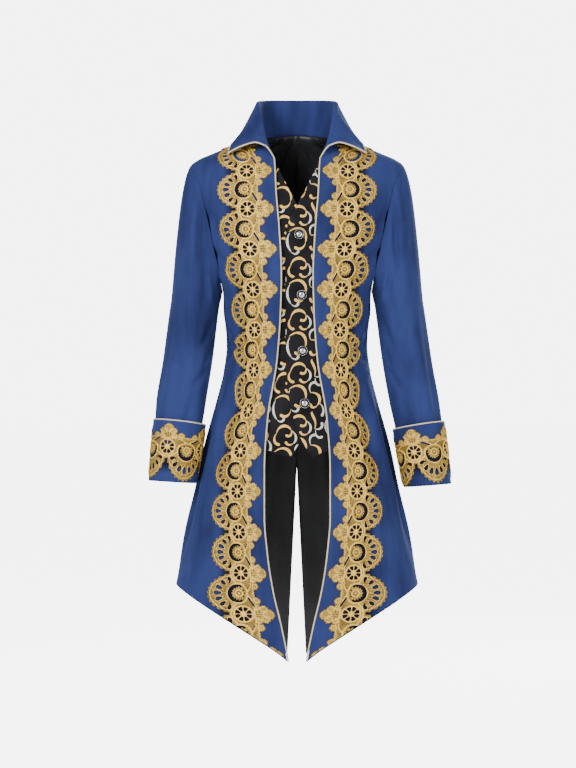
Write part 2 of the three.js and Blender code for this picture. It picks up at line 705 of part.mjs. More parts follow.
function frontLace(side) {
  const onFront = layOn(frontPlaces, side, 0);
  const over = steps(7).map((share) => mix(LACE_TOP_Z, SHOULDER_POINT_Z, share));
  const down = steps(48).map((share) => mix(SHOULDER_POINT_Z - 15, TIP_Z + 12, share));
  const hemReach = (z) => mix(lookup(TORSO, "side", SIDE_HEM_Z), TIP_HALF_GAP, (SIDE_HEM_Z - z) / (SIDE_HEM_Z - TIP_Z));
  const grid = (out) =>
    [...over, ...down].map((z) => {
      const inner = lookup(FRONT_EDGE, "x", z) + LACE_EDGE_MARGIN;
      const widest = lookup(LACE_OUTER, "x", z);
      const width = widest - inner;
      const from = inner + SPUR_DIP * width * between(z, 0);
      const reach = widest - FAN_DIP * width * between(z, 0.5);
      const limit = z < SIDE_HEM_Z ? hemReach(z) - 4 : Infinity;
      const start = Math.min(turnAt(from, z), turnAt(Math.max(limit - 4, 1), z));
      const end = Math.min(turnAt(Math.min(reach, limit), z), QUARTER - 0.03);
      return steps(5).map((share) => onFront(mix(start, end, share), z, out));
    });
  return wall(grid(LACE_STANDOFF + LACE_WALL), grid(LACE_STANDOFF));
}

function cuffLace(name, side) {
  const levels = steps(2).map((share) => mix(CUFF_LACE.bottom, CUFF_LACE.top, share));
  return cuffBand(name, side, levels, (up) => cuffGap(up) + CUFF_WALL + 0.8, LACE_WALL);
}

// ---------------------------------------------------------------- the coat
for (const [name, side] of [
  ["left", 1],
  ["right", -1],
]) {
  piece(`front_${name}`, panel(frontPlaces, side, 0, VELVET_WALL), velvet);
  piece(`back_${name}`, panel(backPlaces, side, 0, VELVET_WALL), velvet);
  piece(`lining_${name}`, panel(backPlaces, side, LINING_DEPTH, SATIN_WALL), satin);
  piece(`sleeve_${name}`, sleeve(name, side), velvet);
  piece(`cuff_${name}`, cuffBand(name, side, [0, CUFF_HEIGHT / 2, CUFF_HEIGHT], cuffGap, CUFF_WALL), velvet);
  piece(`cuff_lace_${name}`, cuffLace(name, side), lace);
  piece(`cuff_piping_${name}`, cuffPiping(name, side), piping);
  piece(`waistcoat_${name}`, panel(waistcoatPlaces(name), side, WAISTCOAT_DEPTH[name], BROCADE_WALL), brocade);
  piece(`front_lace_${name}`, frontLace(side), lace);
  piece(`front_piping_${name}`, frontPiping(side), piping);
}
piece("collar", collar(), velvet);
piece("collar_piping", collarPiping(), piping);
BUTTONS.forEach((place, k) => piece(`button_${k + 1}`, waistcoatButton(place), button));

export default coat;
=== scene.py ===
# %% [markdown]
# # A frock coat in velvet, gold lace and brocade
# The coat stands filled out as if worn, with nobody in it. Its measured form comes from the CAD model, which
# draws every piece as a coarse wall. Here each wall is drawn again as cloth: finer, with its creases, its nap, its
# lace and its woven pattern. Nothing changes size: each new piece replaces the CAD piece of the same place.

import math

import bmesh
import bpy
import numpy as np
from mathutils import Matrix, Vector


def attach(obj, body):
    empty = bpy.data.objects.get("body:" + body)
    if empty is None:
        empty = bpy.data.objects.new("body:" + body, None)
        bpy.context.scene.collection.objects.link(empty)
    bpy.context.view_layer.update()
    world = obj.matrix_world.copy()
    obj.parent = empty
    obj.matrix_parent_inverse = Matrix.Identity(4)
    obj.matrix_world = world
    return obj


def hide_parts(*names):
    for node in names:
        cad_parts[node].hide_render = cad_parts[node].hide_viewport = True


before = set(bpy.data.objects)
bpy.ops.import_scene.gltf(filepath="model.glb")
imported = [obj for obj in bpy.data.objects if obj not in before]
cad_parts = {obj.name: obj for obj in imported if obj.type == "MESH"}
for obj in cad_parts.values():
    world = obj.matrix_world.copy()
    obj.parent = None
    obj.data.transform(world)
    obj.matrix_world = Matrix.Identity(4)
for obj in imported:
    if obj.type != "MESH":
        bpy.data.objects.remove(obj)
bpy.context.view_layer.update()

# %% [markdown]
# ## The form under the cloth
# A tailor thinks of the body of a coat as one smooth form that the panels are cut to. It is described here as the
# CAD does it: a table of level sections, each a squared ellipse. One could also sculpt it or drape it by
# simulation, but a table keeps every panel, and all that is sewn on the panels, on exactly the same surface.
# All sizes are in millimetres until a mesh is made.

# %% Sizes and tables
MM = 0.001
SEAM_GAP = 0.3
VELVET_WALL = 1.8
SATIN_WALL = 1.0
BROCADE_WALL = 1.2
LINING_DEPTH = VELVET_WALL + 0.7
NECK_POINT_Z = 20
BACK_NECK_Z = 32
BREAK_Z = -28
SHOULDER_POINT_Z = -37
ARMPIT_Z = -295
VENT_TOP_Z = -645
SIDE_HEM_Z = -892
TIP_Z = -1033
BACK_TIP_Z = -1056
TIP_HALF_GAP = 20
HEM_BOW = 0.85
QUARTER = math.pi / 2


def columns(names, rows):
    """A short table as arrays, one for each named column, in rising order of the first."""
    ordered = np.array(sorted(rows), float)
    return {name: ordered[:, k] for k, name in enumerate(names.split())}


TORSO = columns(
    "z side front back square",
    [
        (-1060, 288, 160, 162, 2),
        (-896, 249, 150, 152, 2),
        (-824, 235, 145, 146, 2),
        (-722, 210, 138, 136, 2),
        (-619, 188, 131, 124, 1.95),
        (-517, 165, 123, 107, 1.9),
        (-455, 150, 116, 94, 1.9),
        (-404, 144, 110, 88, 1.95),
        (-330, 151, 115, 97, 2.05),
        (-295, 152, 118, 102, 2.1),
        (-257, 170, 119, 107, 2.15),
        (-215, 187, 117, 111, 2.15),
        (-168, 201, 113, 113, 2.15),
        (-123, 212, 107, 111, 2.15),
        (-83, 220, 98, 107, 2.1),
        (-60, 222, 91, 103, 2.1),
        (-37, 218, 82, 98, 2.1),
        (-25, 203, 77, 94, 2.1),
        (-14, 178, 73, 90, 2.05),
        (-4, 154, 68, 86, 2),
        (8, 115, 61, 80, 2),
        (20, 69, 54, 74, 2),
        (32, 62, 50, 71, 2),
    ],
)
FRONT_EDGE = columns(
    "z x",
    [
        (-1060, 16), (-1033, 20), (-964, 34), (-892, 51), (-820, 62), (-748, 68), (-652, 68), (-556, 62),
        (-436, 43), (-340, 36), (-268, 34), (-172, 38.5), (-100, 44.5), (-28, 48.5), (-14, 56), (-4, 61), (8, 66),
        (14, 68), (20, 69),
    ],
)
ARMHOLE = columns(
    "z front back",
    [
        (-295, 152, 152), (-257, 157, 161), (-215, 167, 173), (-168, 177, 184), (-123, 187, 194),
        (-83, 197, 203), (-60, 207, 210), (-37, 218, 218),
    ],
)
FRONT_ROWS = columns(
    "row edge side",
    [
        (0, TIP_Z, SIDE_HEM_Z), (1, -960, -852), (2, -880, -800), (3, -800, -745), (4, -730, -690),
        (5, -660, -632), (6, -590, -572), (7, -525, -517), (8, -465, -463), (9, -404, -404), (10, -345, -347),
        (11, -290, ARMPIT_Z), (12, -236, -250), (13, -180, -205), (14, -130, -163), (15, -82, -122),
        (16, BREAK_Z, -84), (17, -10, -60), (18, 6, -46), (19, NECK_POINT_Z, SHOULDER_POINT_Z),
    ],
)
BACK_ROWS = columns(
    "row middle side turn",
    [
        (0, BACK_TIP_Z, SIDE_HEM_Z, 0), (1, -975, -852, 0), (2, -890, -800, 0), (3, -805, -745, 0),
        (4, -723, -690, 0), (5, VENT_TOP_Z, -632, 0), (6, -580, -572, 0), (7, -520, -517, 0),
        (8, -463, -463, 0), (9, -404, -404, 0), (10, -345, -347, 0), (11, -290, ARMPIT_Z, 0),
        (12, -225, -250, 0), (13, -160, -205, 0), (14, -95, -163, 0), (15, -30, -122, 0),
        (16, BACK_NECK_Z, -84, 0), (17, BACK_NECK_Z, -60, 35), (18, BACK_NECK_Z, -46, 63),
        (19, BACK_NECK_Z, SHOULDER_POINT_Z, 90),
    ],
)


def lookup(table, column, value):
    """A smooth curve through one column of a table, with no overshoot between its rows."""
    x = next(iter(table.values()))
    y = table[column]
    at = np.clip(np.asarray(value, float), x[0], x[-1])
    slope = np.diff(y) / np.diff(x)
    before, after = np.concatenate([slope[:1], slope]), np.concatenate([slope, slope[-1:]])
    total = np.where(before * after > 0, before + after, 1)
    tangent = np.where(before * after > 0, 2 * before * after / total, 0)
    k = np.clip(np.searchsorted(x, at, side="right") - 1, 0, len(slope) - 1)
    width = x[k + 1] - x[k]
    t = (at - x[k]) / width
    return (
        y[k] * (1 + 2 * t) * (1 - t) ** 2
        + tangent[k] * width * t * (1 - t) ** 2
        + y[k + 1] * t**2 * (3 - 2 * t)
        + tangent[k + 1] * width * t**2 * (t - 1)
    )


def mix(a, b, share):
    return a + (b - a) * share


print(f"{len(TORSO['z'])} sections from {TORSO['z'][0]:.0f} to {TORSO['z'][-1]:.0f} mm")

# %% The form and its outward direction
def on_form(turn, z):
    """Points of the form; turn is 0 at the centre front and pi at the centre back, and below 0 it is mirrored."""
    turn, z = np.broadcast_arrays(np.asarray(turn, float), np.asarray(z, float))
    bend = 2 / lookup(TORSO, "square", z)
    swing = np.abs(turn)
    depth = np.where(swing < QUARTER, -lookup(TORSO, "front", z), lookup(TORSO, "back", z))
    x = np.sign(turn) * lookup(TORSO, "side", z) * np.clip(np.sin(swing), 0, 1) ** bend
    return np.stack([x, depth * np.abs(np.cos(swing)) ** bend, z], -1)


def unit(v):
    return v / np.maximum(np.linalg.norm(v, axis=-1, keepdims=True), 1e-12)


def outward(turn, z):
    small = 0.004
    side = np.where(np.asarray(turn, float) < 0, -1.0, 1.0)
    t = np.clip(np.abs(turn), small, math.pi - small)
    around = on_form(t + small, z) - on_form(t - small, z)
    up = on_form(t, np.asarray(z, float) + 1) - on_form(t, np.asarray(z, float) - 1)
    normal = unit(np.cross(around, up))
    normal[..., 0] *= side
    return normal


def turn_at(x, z):
    """How far round the form a distance from the centre plane is, in front."""
    share = np.clip(np.abs(x) / lookup(TORSO, "side", z), 0, 1)
    return np.sign(x) * np.arcsin(share ** (lookup(TORSO, "square", z) / 2))


print("half width at the waist", round(float(on_form(QUARTER, -404)[0])), "mm")

# %% [markdown]
# ## Creases
# Velvet on a filled-out coat hangs nearly smooth, with long soft folds from the chest to the waist and from the
# waist to the hem, short pulls at the armholes and a few pinches at the waist. Each is placed in a list:
# where it starts and ends on the form, how wide and how deep it is. A fold fades at both of its ends. Cloth
# simulation could make such folds too, but they would not fall where this coat has them.

# %% The creases of the body
# start and end: degrees round from the centre front (90 is the side seam, 180 the centre back) and height;
# then half width and depth in millimetres. Depth below 0 is a trough, and CREASE_STRENGTH multiplies every depth.
BODY_CREASES = [
    # from the armhole across the chest
    (62, -120, 44, -215, 16, -2.6), (70, -190, 50, -262, 12, -2.2), (74, -235, 58, -300, 10, 1.8),
    # under the arm and into the waist
    (84, -300, 70, -392, 9, -2.6), (78, -318, 60, -405, 8, 2.0), (88, -345, 72, -425, 7, -2.2),
    (74, -396, 52, -421, 6, -3.0), (80, -420, 58, -447, 6, -2.4), (84, -452, 66, -470, 5, 1.6),
    # the front skirt
    (52, -440, 60, -720, 15, -2.8), (66, -450, 72, -800, 17, 3.4), (74, -470, 80, -860, 15, -3.6),
    (84, -500, 88, -880, 17, 3.2), (30, -560, 30, -860, 14, 1.5), (43, -520, 46, -900, 17, 2.2),
    # the back skirt, over the vent and beside it
    (98, -470, 97, -870, 16, -3.8), (108, -440, 106, -890, 18, 4.0), (120, -450, 116, -900, 16, -3.6),
    (134, -430, 129, -940, 20, 3.8), (149, -440, 143, -960, 17, -3.2), (163, -470, 158, -980, 18, 2.6),
    # the back above the waist
    (100, -300, 112, -405, 9, -2.6), (110, -290, 128, -396, 11, 2.2), (128, -300, 142, -410, 12, -2.2),
    (118, -150, 134, -285, 17, -2.6), (146, -130, 154, -330, 20, 1.8), (104, -398, 130, -424, 6, -2.8),
    (126, -402, 158, -430, 7, -1.8),
]
CREASE_STRENGTH = 2.1
SEAM_DIP, SEAM_HALF_WIDTH = 1.3, 4.5
LEFT_ONLY = [(60, -405, 78, -440, 6, -1.8), (36, -90, 42, -250, 17, 1.0), (140, -470, 150, -700, 12, 1.4)]
RIGHT_ONLY = [(58, -398, 76, -424, 6, -2.6), (82, -412, 64, -430, 5, -2.4), (34, -70, 46, -200, 16, -1.0)]


def fold_height(across, along, half_width, depth):
    """The height of one soft fold at a distance across it and a share along it, fading at both ends."""
    fade = np.clip(np.minimum(along, 1 - along) * 2.6 + 0.02, 0, 1)
    fade = fade * fade * (3 - 2 * fade)
    return CREASE_STRENGTH * depth * fade * np.exp(-((across / half_width) ** 2))


def body_fold(turn, z):
    """How far the cloth stands out of the form at each point, from all the creases."""
    turn, z = np.broadcast_arrays(np.asarray(turn, float), np.asarray(z, float))
    total = np.zeros(turn.shape)
    degrees = np.degrees(np.abs(turn))
    reach = np.radians(1) * (lookup(TORSO, "side", z) + 115) / 2
    for extra, where in ((LEFT_ONLY, turn >= 0), (RIGHT_ONLY, turn < 0), (BODY_CREASES, None)):
        for start, start_z, end, end_z, half_width, depth in extra:
            along = np.clip((z - start_z) / (end_z - start_z), 0, 1)
            middle = mix(start, end, along) + 1.2 * np.sin(along * 5 + start)
            slant = math.hypot(1, (end - start) * 2.4 / (end_z - start_z))
            height = fold_height((degrees - middle) * reach / slant, along, half_width, depth)
            total += height if where is None else np.where(where, height, 0)
    side_seam = np.exp(-(((degrees - 90) * reach / SEAM_HALF_WIDTH) ** 2)) * (z < ARMPIT_Z)
    back_seam = np.exp(-(((180 - degrees) * reach / SEAM_HALF_WIDTH) ** 2)) * (z > VENT_TOP_Z)
    total -= SEAM_DIP * (side_seam + back_seam)
    drift = 0.5 * np.sin(z / 47 + degrees / 9) * np.sin(z / 83 - degrees / 14)
    calm = np.clip((-z - 40) / 120, 0, 1)
    return total * np.clip((-z - 60) / 60, 0, 1) + drift * calm


def torso(turn, z, out=0.0):
    """Points at a distance out from the creased cloth's face."""
    turn, z, out = np.broadcast_arrays(np.asarray(turn, float), np.asarray(z, float), np.asarray(out, float))
    return on_form(turn, z) + outward(turn, z) * (out + body_fold(turn, z))[..., None]


print(len(BODY_CREASES) * 2 + len(LEFT_ONLY) + len(RIGHT_ONLY), "creases on the body")

# %% [markdown]
# ## From grids of points to cloth
# A panel is two grids of points, its face and its back, closed round its edges by a rolled rim, as a turned and
# pressed edge is. The face takes one material and the back another, because the coat is lined in black satin.

# %% Making a shell
def to_object(name, points, faces, uvs=None, materials=(), indices=None, smooth=True):
    """A mesh object from points in millimetres, with its place in its mesh."""
    mesh = bpy.data.meshes.new(name)
    mesh.from_pydata((np.asarray(points, float) * MM).tolist(), [], [tuple(map(int, f)) for f in faces])
    if uvs is not None:
        layer = mesh.uv_layers.new(name="cloth")
        corners = np.zeros(len(mesh.loops), int)
        mesh.loops.foreach_get("vertex_index", corners)
        layer.data.foreach_set("uv", np.asarray(uvs, float)[corners].ravel())
    for material in materials:
        mesh.materials.append(material)
    if indices is not None:
        mesh.polygons.foreach_set("material_index", np.asarray(indices, int))
    if smooth:
        mesh.polygons.foreach_set("use_smooth", np.ones(len(mesh.polygons), bool))
    mesh.validate()
    mesh.update()
    made = bpy.data.objects.new(name, mesh)
    bpy.context.scene.collection.objects.link(made)
    return made


def shell(name, face, back, uv, materials, wraps=False):
    """A wall between two grids: face, back, and a rolled rim along every open edge."""
    rows, cols = face.shape[:2]
    count = rows * cols
    points = [face.reshape(-1, 3), back.reshape(-1, 3)]
    uvs = [uv.reshape(-1, 2), uv.reshape(-1, 2)]
    index = np.arange(count).reshape(rows, cols)
    right = np.roll(index, -1, 1) if wraps else index[:, 1:]
    left = index if wraps else index[:, :-1]
    a, b, c, d = left[:-1], right[:-1], right[1:], left[1:]
    quads = np.stack([a, b, c, d], -1).reshape(-1, 4)
    faces = [quads, quads[:, ::-1] + count]
    kinds = [np.zeros(len(quads)), np.ones(len(quads))]

    across, down = (np.linalg.norm(np.diff(face, axis=k), axis=-1).sum(axis=k) for k in (1, 0))
    print(f"{name}: laid flat, across {across[::max(1, len(across) // 4)].round()}, first line down {down[0]:.0f} mm")

    def rim(line, inner, flip):
        """Two strips round an edge, bowed out at the middle, from the face to the back."""
        nonlocal count_now
        front, behind = face.reshape(-1, 3)[line], back.reshape(-1, 3)[line]
        away = unit(front - face.reshape(-1, 3)[inner])
        half = np.linalg.norm(front - behind, axis=-1, keepdims=True) / 2
        points.append((front + behind) / 2 + away * half * 0.9)
        uvs.append(uv.reshape(-1, 2)[line])
        middle = np.arange(len(line)) + count_now
        count_now += len(line)
        for first, second, kind in ((line, middle, 0), (middle, line + count, 1)):
            strip = np.stack([first[:-1], second[:-1], second[1:], first[1:]], -1)
            faces.append(strip if flip else strip[:, ::-1])
            kinds.append(np.full(len(strip), kind))

    count_now = 2 * count
    closing = lambda line: np.append(line, line[0]) if wraps else line
    rim(closing(index[0]), closing(index[1]), True)
    rim(closing(index[-1]), closing(index[-2]), False)
    if not wraps:
        rim(index[:, 0], index[:, 1], False)
        rim(index[:, -1], index[:, -2], True)
    made = to_object(name, np.concatenate(points), np.concatenate(faces), np.concatenate(uvs), materials,
                     np.concatenate(kinds).astype(int))
    tidy(made)
    return made


def tidy(obj, distance=0.02):
    """Merges doubled points and turns every face outwards."""
    work = bmesh.new()
    work.from_mesh(obj.data)
    bmesh.ops.remove_doubles(work, verts=work.verts, dist=distance * MM)
    bmesh.ops.recalc_face_normals(work, faces=work.faces)
    work.to_mesh(obj.data)
    work.free()
    obj.data.set_sharp_from_angle(angle=math.radians(62))


def area_of(obj):
    return sum(p.area for p in obj.data.polygons)


PIECES = {}


def keep(obj, node, slot, flat=None, area=None, held="hung"):
    """Notes a finished piece; flat is its cut in metres."""
    PIECES[node] = dict(obj=obj, slot=slot, flat=flat, area=area, held=held)
    print(f"{node}: {len(obj.data.polygons)} faces, {area_of(obj):.3f} m2 of surface")
    return obj


# %% [markdown]
# ## Materials
# Velvet is a short upright pile. It looks darkest where one looks straight into it and lightest where it turns
# away, so it gets a strong sheen over a deep blue, with the nap brushed unevenly; the streaks of that nap are also
# partly painted soft highlight and shade. Satin, brocade, metal thread and the buttons' bright metal each get their
# own shader. What several of them share, the thread grain and the uneven nap, is a node group with named inputs.
# The velvet is also darkened where lace lies over it, through a "shade" attribute, to stand in for the shadow seen
# through the lace's holes. The gold lace is painted pale on its raised cords and brown in its ground, a painted
# highlight and shade taken from its relief.

# %% Node helpers and shared groups
def add(tree, kind, sockets=None, **settings):
    """A node of one kind, with its settings and then its sockets' values."""
    made = tree.nodes.new(kind)
    for key, value in settings.items():
        setattr(made, key, value)
    for key, value in (sockets or {}).items():
        made.inputs[key].default_value = value
    return made


def join(tree, pairs):
    for source, target in pairs:
        tree.links.new(source, target)


def group(name, inputs, outputs):
    tree = bpy.data.node_groups.new(name, "ShaderNodeTree")
    for title, kind, default in inputs:
        socket = tree.interface.new_socket(title, in_out="INPUT", socket_type=kind)
        if default is not None:
            socket.default_value = default
    for title, kind in outputs:
        tree.interface.new_socket(title, in_out="OUTPUT", socket_type=kind)
    return tree, tree.nodes.new("NodeGroupInput"), tree.nodes.new("NodeGroupOutput")


def nap_group():
    """Brushed pile: nap patches, streaks of nap and painted soft highlight, fine tufts, and shade under what covers
    it.
    """
    tree, source, result = group(
        "brushed nap",
        [
            ("Deep", "NodeSocketColor", (0.01, 0.02, 0.08, 1)),
            ("Lit", "NodeSocketColor", (0.04, 0.07, 0.2, 1)),
            ("Patch Size", "NodeSocketFloat", 7.0),
            ("Streak", "NodeSocketFloat", 0.5),
            ("Tuft Size", "NodeSocketFloat", 900.0),
            ("Shade", "NodeSocketFloat", 0.0),
        ],
        [("Color", "NodeSocketColor"), ("Height", "NodeSocketFloat")],
    )
    place = tree.nodes.new("ShaderNodeTexCoord")
    stretch = add(tree, "ShaderNodeMapping", {"Scale": (1, 1, 0.16)})
    broad = add(tree, "ShaderNodeTexNoise", {"Detail": 3})
    # the streaks down the cloth are partly uneven nap and partly painted soft highlight and shade
    streak = add(tree, "ShaderNodeTexNoise", {"Scale": 34, "Detail": 2})
    tuft = add(tree, "ShaderNodeTexNoise", {"Detail": 1})
    share = add(tree, "ShaderNodeMath", operation="MULTIPLY_ADD")
    level = add(tree, "ShaderNodeMapRange", {"From Min": 0.5, "From Max": 0.98})
    blend = add(tree, "ShaderNodeMix", data_type="RGBA")
    # the near black that the painted shadow under lace blends towards
    shaded = add(tree, "ShaderNodeMix", {"B": (0.0015, 0.002, 0.006, 1)}, data_type="RGBA")
    join(tree, [
        (source.outputs["Shade"], shaded.inputs["Factor"]),
        (blend.outputs["Result"], shaded.inputs["A"]),
        (place.outputs["Object"], broad.inputs["Vector"]),
        (place.outputs["Object"], stretch.inputs["Vector"]),
        (place.outputs["Object"], tuft.inputs["Vector"]),
        (stretch.outputs["Vector"], streak.inputs["Vector"]),
        (source.outputs["Patch Size"], broad.inputs["Scale"]),
        (source.outputs["Tuft Size"], tuft.inputs["Scale"]),
        (streak.outputs["Fac"], share.inputs[0]),
        (source.outputs["Streak"], share.inputs[1]),
        (broad.outputs["Fac"], share.inputs[2]),
        (share.outputs[0], level.inputs["Value"]),
        (level.outputs["Result"], blend.inputs["Factor"]),
        (source.outputs["Deep"], blend.inputs["A"]),
        (source.outputs["Lit"], blend.inputs["B"]),
        (shaded.outputs["Result"], result.inputs["Color"]),
        (tuft.outputs["Fac"], result.inputs["Height"]),
    ])
    return tree


def thread_group():
    """Twisted thread: fine slanted grain in a piece's own coordinates, with a little unevenness."""
    tree, source, result = group(
        "thread grain",
        [
            ("Dark", "NodeSocketColor", (0.3, 0.2, 0.08, 1)),
            ("Light", "NodeSocketColor", (0.8, 0.6, 0.3, 1)),
            ("Shade", "NodeSocketFloat", 0.5),
            ("Grain Size", "NodeSocketFloat", 420.0),
        ],
        [("Color", "NodeSocketColor"), ("Height", "NodeSocketFloat")],
    )
    place = tree.nodes.new("ShaderNodeTexCoord")
    grain = add(tree, "ShaderNodeTexNoise", {"Detail": 2})
    broad = add(tree, "ShaderNodeTexNoise", {"Scale": 60})
    sum_up = add(tree, "ShaderNodeMath", {1: 0.5}, operation="MULTIPLY_ADD")
    steady = add(tree, "ShaderNodeMath", {1: -0.5}, operation="ADD")
    wide = add(tree, "ShaderNodeMath", {1: 0.5}, operation="MULTIPLY_ADD")
    blend = add(tree, "ShaderNodeMix", data_type="RGBA")
    join(tree, [
        (place.outputs["Object"], grain.inputs["Vector"]),
        (place.outputs["Object"], broad.inputs["Vector"]),
        (source.outputs["Grain Size"], grain.inputs["Scale"]),
        (grain.outputs["Fac"], sum_up.inputs[0]),
        (source.outputs["Shade"], sum_up.inputs[2]),
        (broad.outputs["Fac"], wide.inputs[0]),
        (sum_up.outputs[0], wide.inputs[2]),
        (wide.outputs[0], steady.inputs[0]),
        (steady.outputs[0], blend.inputs["Factor"]),
        (source.outputs["Dark"], blend.inputs["A"]),
        (source.outputs["Light"], blend.inputs["B"]),
        (blend.outputs["Result"], result.inputs["Color"]),
        (grain.outputs["Fac"], result.inputs["Height"]),
    ])
    return tree


NAP, THREAD = nap_group(), thread_group()
print("shared groups:", NAP.name, "and", THREAD.name)

# %% The materials
def material(name, base=None, bump=0.0, **settings):
    """A Principled material; the settings are its sockets' names with _ for a space."""
    made = bpy.data.materials.new(name)
    made.use_nodes = True
    tree = made.node_tree
    shader = tree.nodes["Principled BSDF"]
    for key, value in settings.items():
        shader.inputs[key.replace("_", " ")].default_value = value
    if base is not None:
        use, values = base
        grain = tree.nodes.new("ShaderNodeGroup")
        grain.node_tree = use
        for key, value in values.items():
            grain.inputs[key.replace("_", " ")].default_value = value
        tree.links.new(grain.outputs["Color"], shader.inputs["Base Color"])
        if bump:
            raised = add(tree, "ShaderNodeBump", {"Strength": bump, "Distance": 0.0006})
            tree.links.new(grain.outputs["Height"], raised.inputs["Height"])
            tree.links.new(raised.outputs["Normal"], shader.inputs["Normal"])
    return made


# the velvet's two blues, blended by patches and streaks: partly uneven nap, partly painted highlight and shade
VELVET_DEEP, VELVET_LIT = (0.009, 0.014, 0.064, 1), (0.026, 0.042, 0.158, 1)
velvet = material(
    "blue velvet",
    (NAP, dict(Deep=VELVET_DEEP, Lit=VELVET_LIT, Patch_Size=6.0, Streak=0.7, Tuft_Size=1100.0)),
    bump=0.25, Roughness=0.85, Sheen_Weight=0.28, Sheen_Roughness=0.35, Sheen_Tint=(0.35, 0.48, 0.95, 1),
    Specular_IOR_Level=0.15,
)
satin = material(
    "black satin lining",
    (NAP, dict(Deep=(0.008, 0.008, 0.010, 1), Lit=(0.030, 0.031, 0.034, 1), Patch_Size=9.0, Tuft_Size=500.0)),
    bump=0.05, Roughness=0.42, Specular_IOR_Level=0.35, Anisotropic=0.4,
)
brocade = material(
    "black brocade ground",
    (NAP, dict(Deep=(0.004, 0.004, 0.006, 1), Lit=(0.014, 0.013, 0.016, 1), Patch_Size=30.0, Tuft_Size=1500.0)),
    bump=0.3, Roughness=0.75, Specular_IOR_Level=0.12,
)
gold_weave = material(
    "gold brocade thread",
    (THREAD, dict(Dark=(0.50, 0.26, 0.04, 1), Light=(1.0, 0.62, 0.14, 1), Shade=0.7, Grain_Size=900.0)),
    bump=0.4, Roughness=0.42, Metallic=0.25, Specular_IOR_Level=0.5,
)
silver_weave = material(
    "silver brocade thread",
    (THREAD, dict(Dark=(0.32, 0.30, 0.25, 1), Light=(0.80, 0.78, 0.68, 1), Shade=0.7, Grain_Size=900.0)),
    bump=0.4, Roughness=0.4, Metallic=0.25, Specular_IOR_Level=0.5,
)
cream_cord = material(
    "cream piping",
    (THREAD, dict(Dark=(0.40, 0.29, 0.14, 1), Light=(0.92, 0.82, 0.58, 1), Shade=0.62, Grain_Size=700.0)),
    bump=0.5, Roughness=0.28, Specular_IOR_Level=0.7,
)
black_gloss = material(
    "black button",
    (NAP, dict(Deep=(0.004, 0.004, 0.005, 1), Lit=(0.016, 0.016, 0.018, 1), Patch_Size=90.0, Tuft_Size=400.0)),
    bump=0.05, Roughness=0.18,
)
bright = material(
    "bright button metal",
    (THREAD, dict(Dark=(0.45, 0.45, 0.47, 1), Light=(0.86, 0.86, 0.88, 1), Shade=0.7, Grain_Size=500.0)),
    Metallic=1.0, Roughness=0.2,
)


def add_shade(made, strength):
    """Darkens a pile with painted shadow where its "shade" attribute says that lace lies over it."""
    tree = made.node_tree
    shade = tree.nodes.new("ShaderNodeAttribute")
    shade.attribute_name = "shade"
    amount = add(tree, "ShaderNodeMath", {1: strength}, operation="MULTIPLY")
    grain = next(n for n in tree.nodes if n.type == "GROUP")
    join(tree, [(shade.outputs["Fac"], amount.inputs[0]), (amount.outputs[0], grain.inputs["Shade"])])


# how dark the painted shadow under the lace is
SHADE_STRENGTH = 0.92
add_shade(velvet, SHADE_STRENGTH)


def lay_shade(obj, share):
    """Marks the cloth under a lace for a painted shadow: share is 0 at the lace's inner edge and 1 at its outer edge.
    """
    value = np.clip((share - 0.2) / 0.16, 0, 1) * np.clip((0.84 - share) / 0.16, 0, 1)
    layer = obj.data.attributes.new("shade", "FLOAT", "POINT")
    layer.data.foreach_set("value", value.astype(np.float32))


def lace_material():
    """Gold thread: painted highlight on the raised cords and painted brown shade in the ground, from the lace's
    relief.
    """
    made = material(
        "gold lace",
        (THREAD, dict(Dark=(0.040, 0.018, 0.002, 1), Light=(1.0, 0.64, 0.125, 1), Shade=0.35, Grain_Size=650.0)),
        bump=0.8, Roughness=0.5, Specular_IOR_Level=0.3, Metallic=0.4,
    )
    tree = made.node_tree
    relief = tree.nodes.new("ShaderNodeAttribute")
    relief.attribute_name = "relief"
    # the relief leans the colour to Light on the cords and Dark in the ground: painted highlight and shade
    steep = add(tree, "ShaderNodeMapRange", {"From Min": 0.12, "From Max": 0.72})
    grain = next(n for n in tree.nodes if n.type == "GROUP")
    join(tree, [(relief.outputs["Fac"], steep.inputs["Value"]), (steep.outputs["Result"], grain.inputs["Shade"])])
    return made


lace = lace_material()
print(len(bpy.data.materials), "materials")

# %% [markdown]
# ## Fronts, backs and lining
# The body is cut as two fronts and two backs, with seams at the sides, the shoulders and the centre back. The
# centre back seam stops above the seat and opens into a vent. A panel is a grid of lines that run from its front
# edge or centre back out to the side seam and the armhole; the hem is the lowest line.

# %% The panels' lines
def gap_turn(z):
    return (SEAM_GAP / 2 / lookup(TORSO, "front", z)) ** (lookup(TORSO, "square", z) / 2)


def armhole_turn(z, half):
    z = np.asarray(z, float)
    return np.where(z <= ARMPIT_Z, QUARTER, turn_at(lookup(ARMHOLE, half, np.maximum(z, ARMPIT_Z)), z))


def across_line(start_turn, start_z, end_turn, end_z, share):
    turn = mix(start_turn, end_turn, share)
    reach = np.maximum(np.abs(np.sin(end_turn) - np.sin(start_turn)), 1e-3)
    drop = np.clip(np.abs(np.sin(turn) - np.sin(start_turn)) / reach, 0, 1) ** HEM_BOW
    drop = np.where(np.abs(np.sin(end_turn) - np.sin(start_turn)) < 1e-3, share, drop)
    return turn, mix(start_z, end_z, drop)


def front_places(rows, cols):
    row = np.linspace(0, FRONT_ROWS["row"][-1], rows)[:, None]
    share = np.linspace(0, 1, cols)[None]
    edge, side = lookup(FRONT_ROWS, "edge", row), lookup(FRONT_ROWS, "side", row)
    start = np.minimum(turn_at(lookup(FRONT_EDGE, "x", edge), edge), QUARTER - gap_turn(edge))
    end = armhole_turn(side, "front") - gap_turn(side)
    return across_line(start, edge, end, side, share)


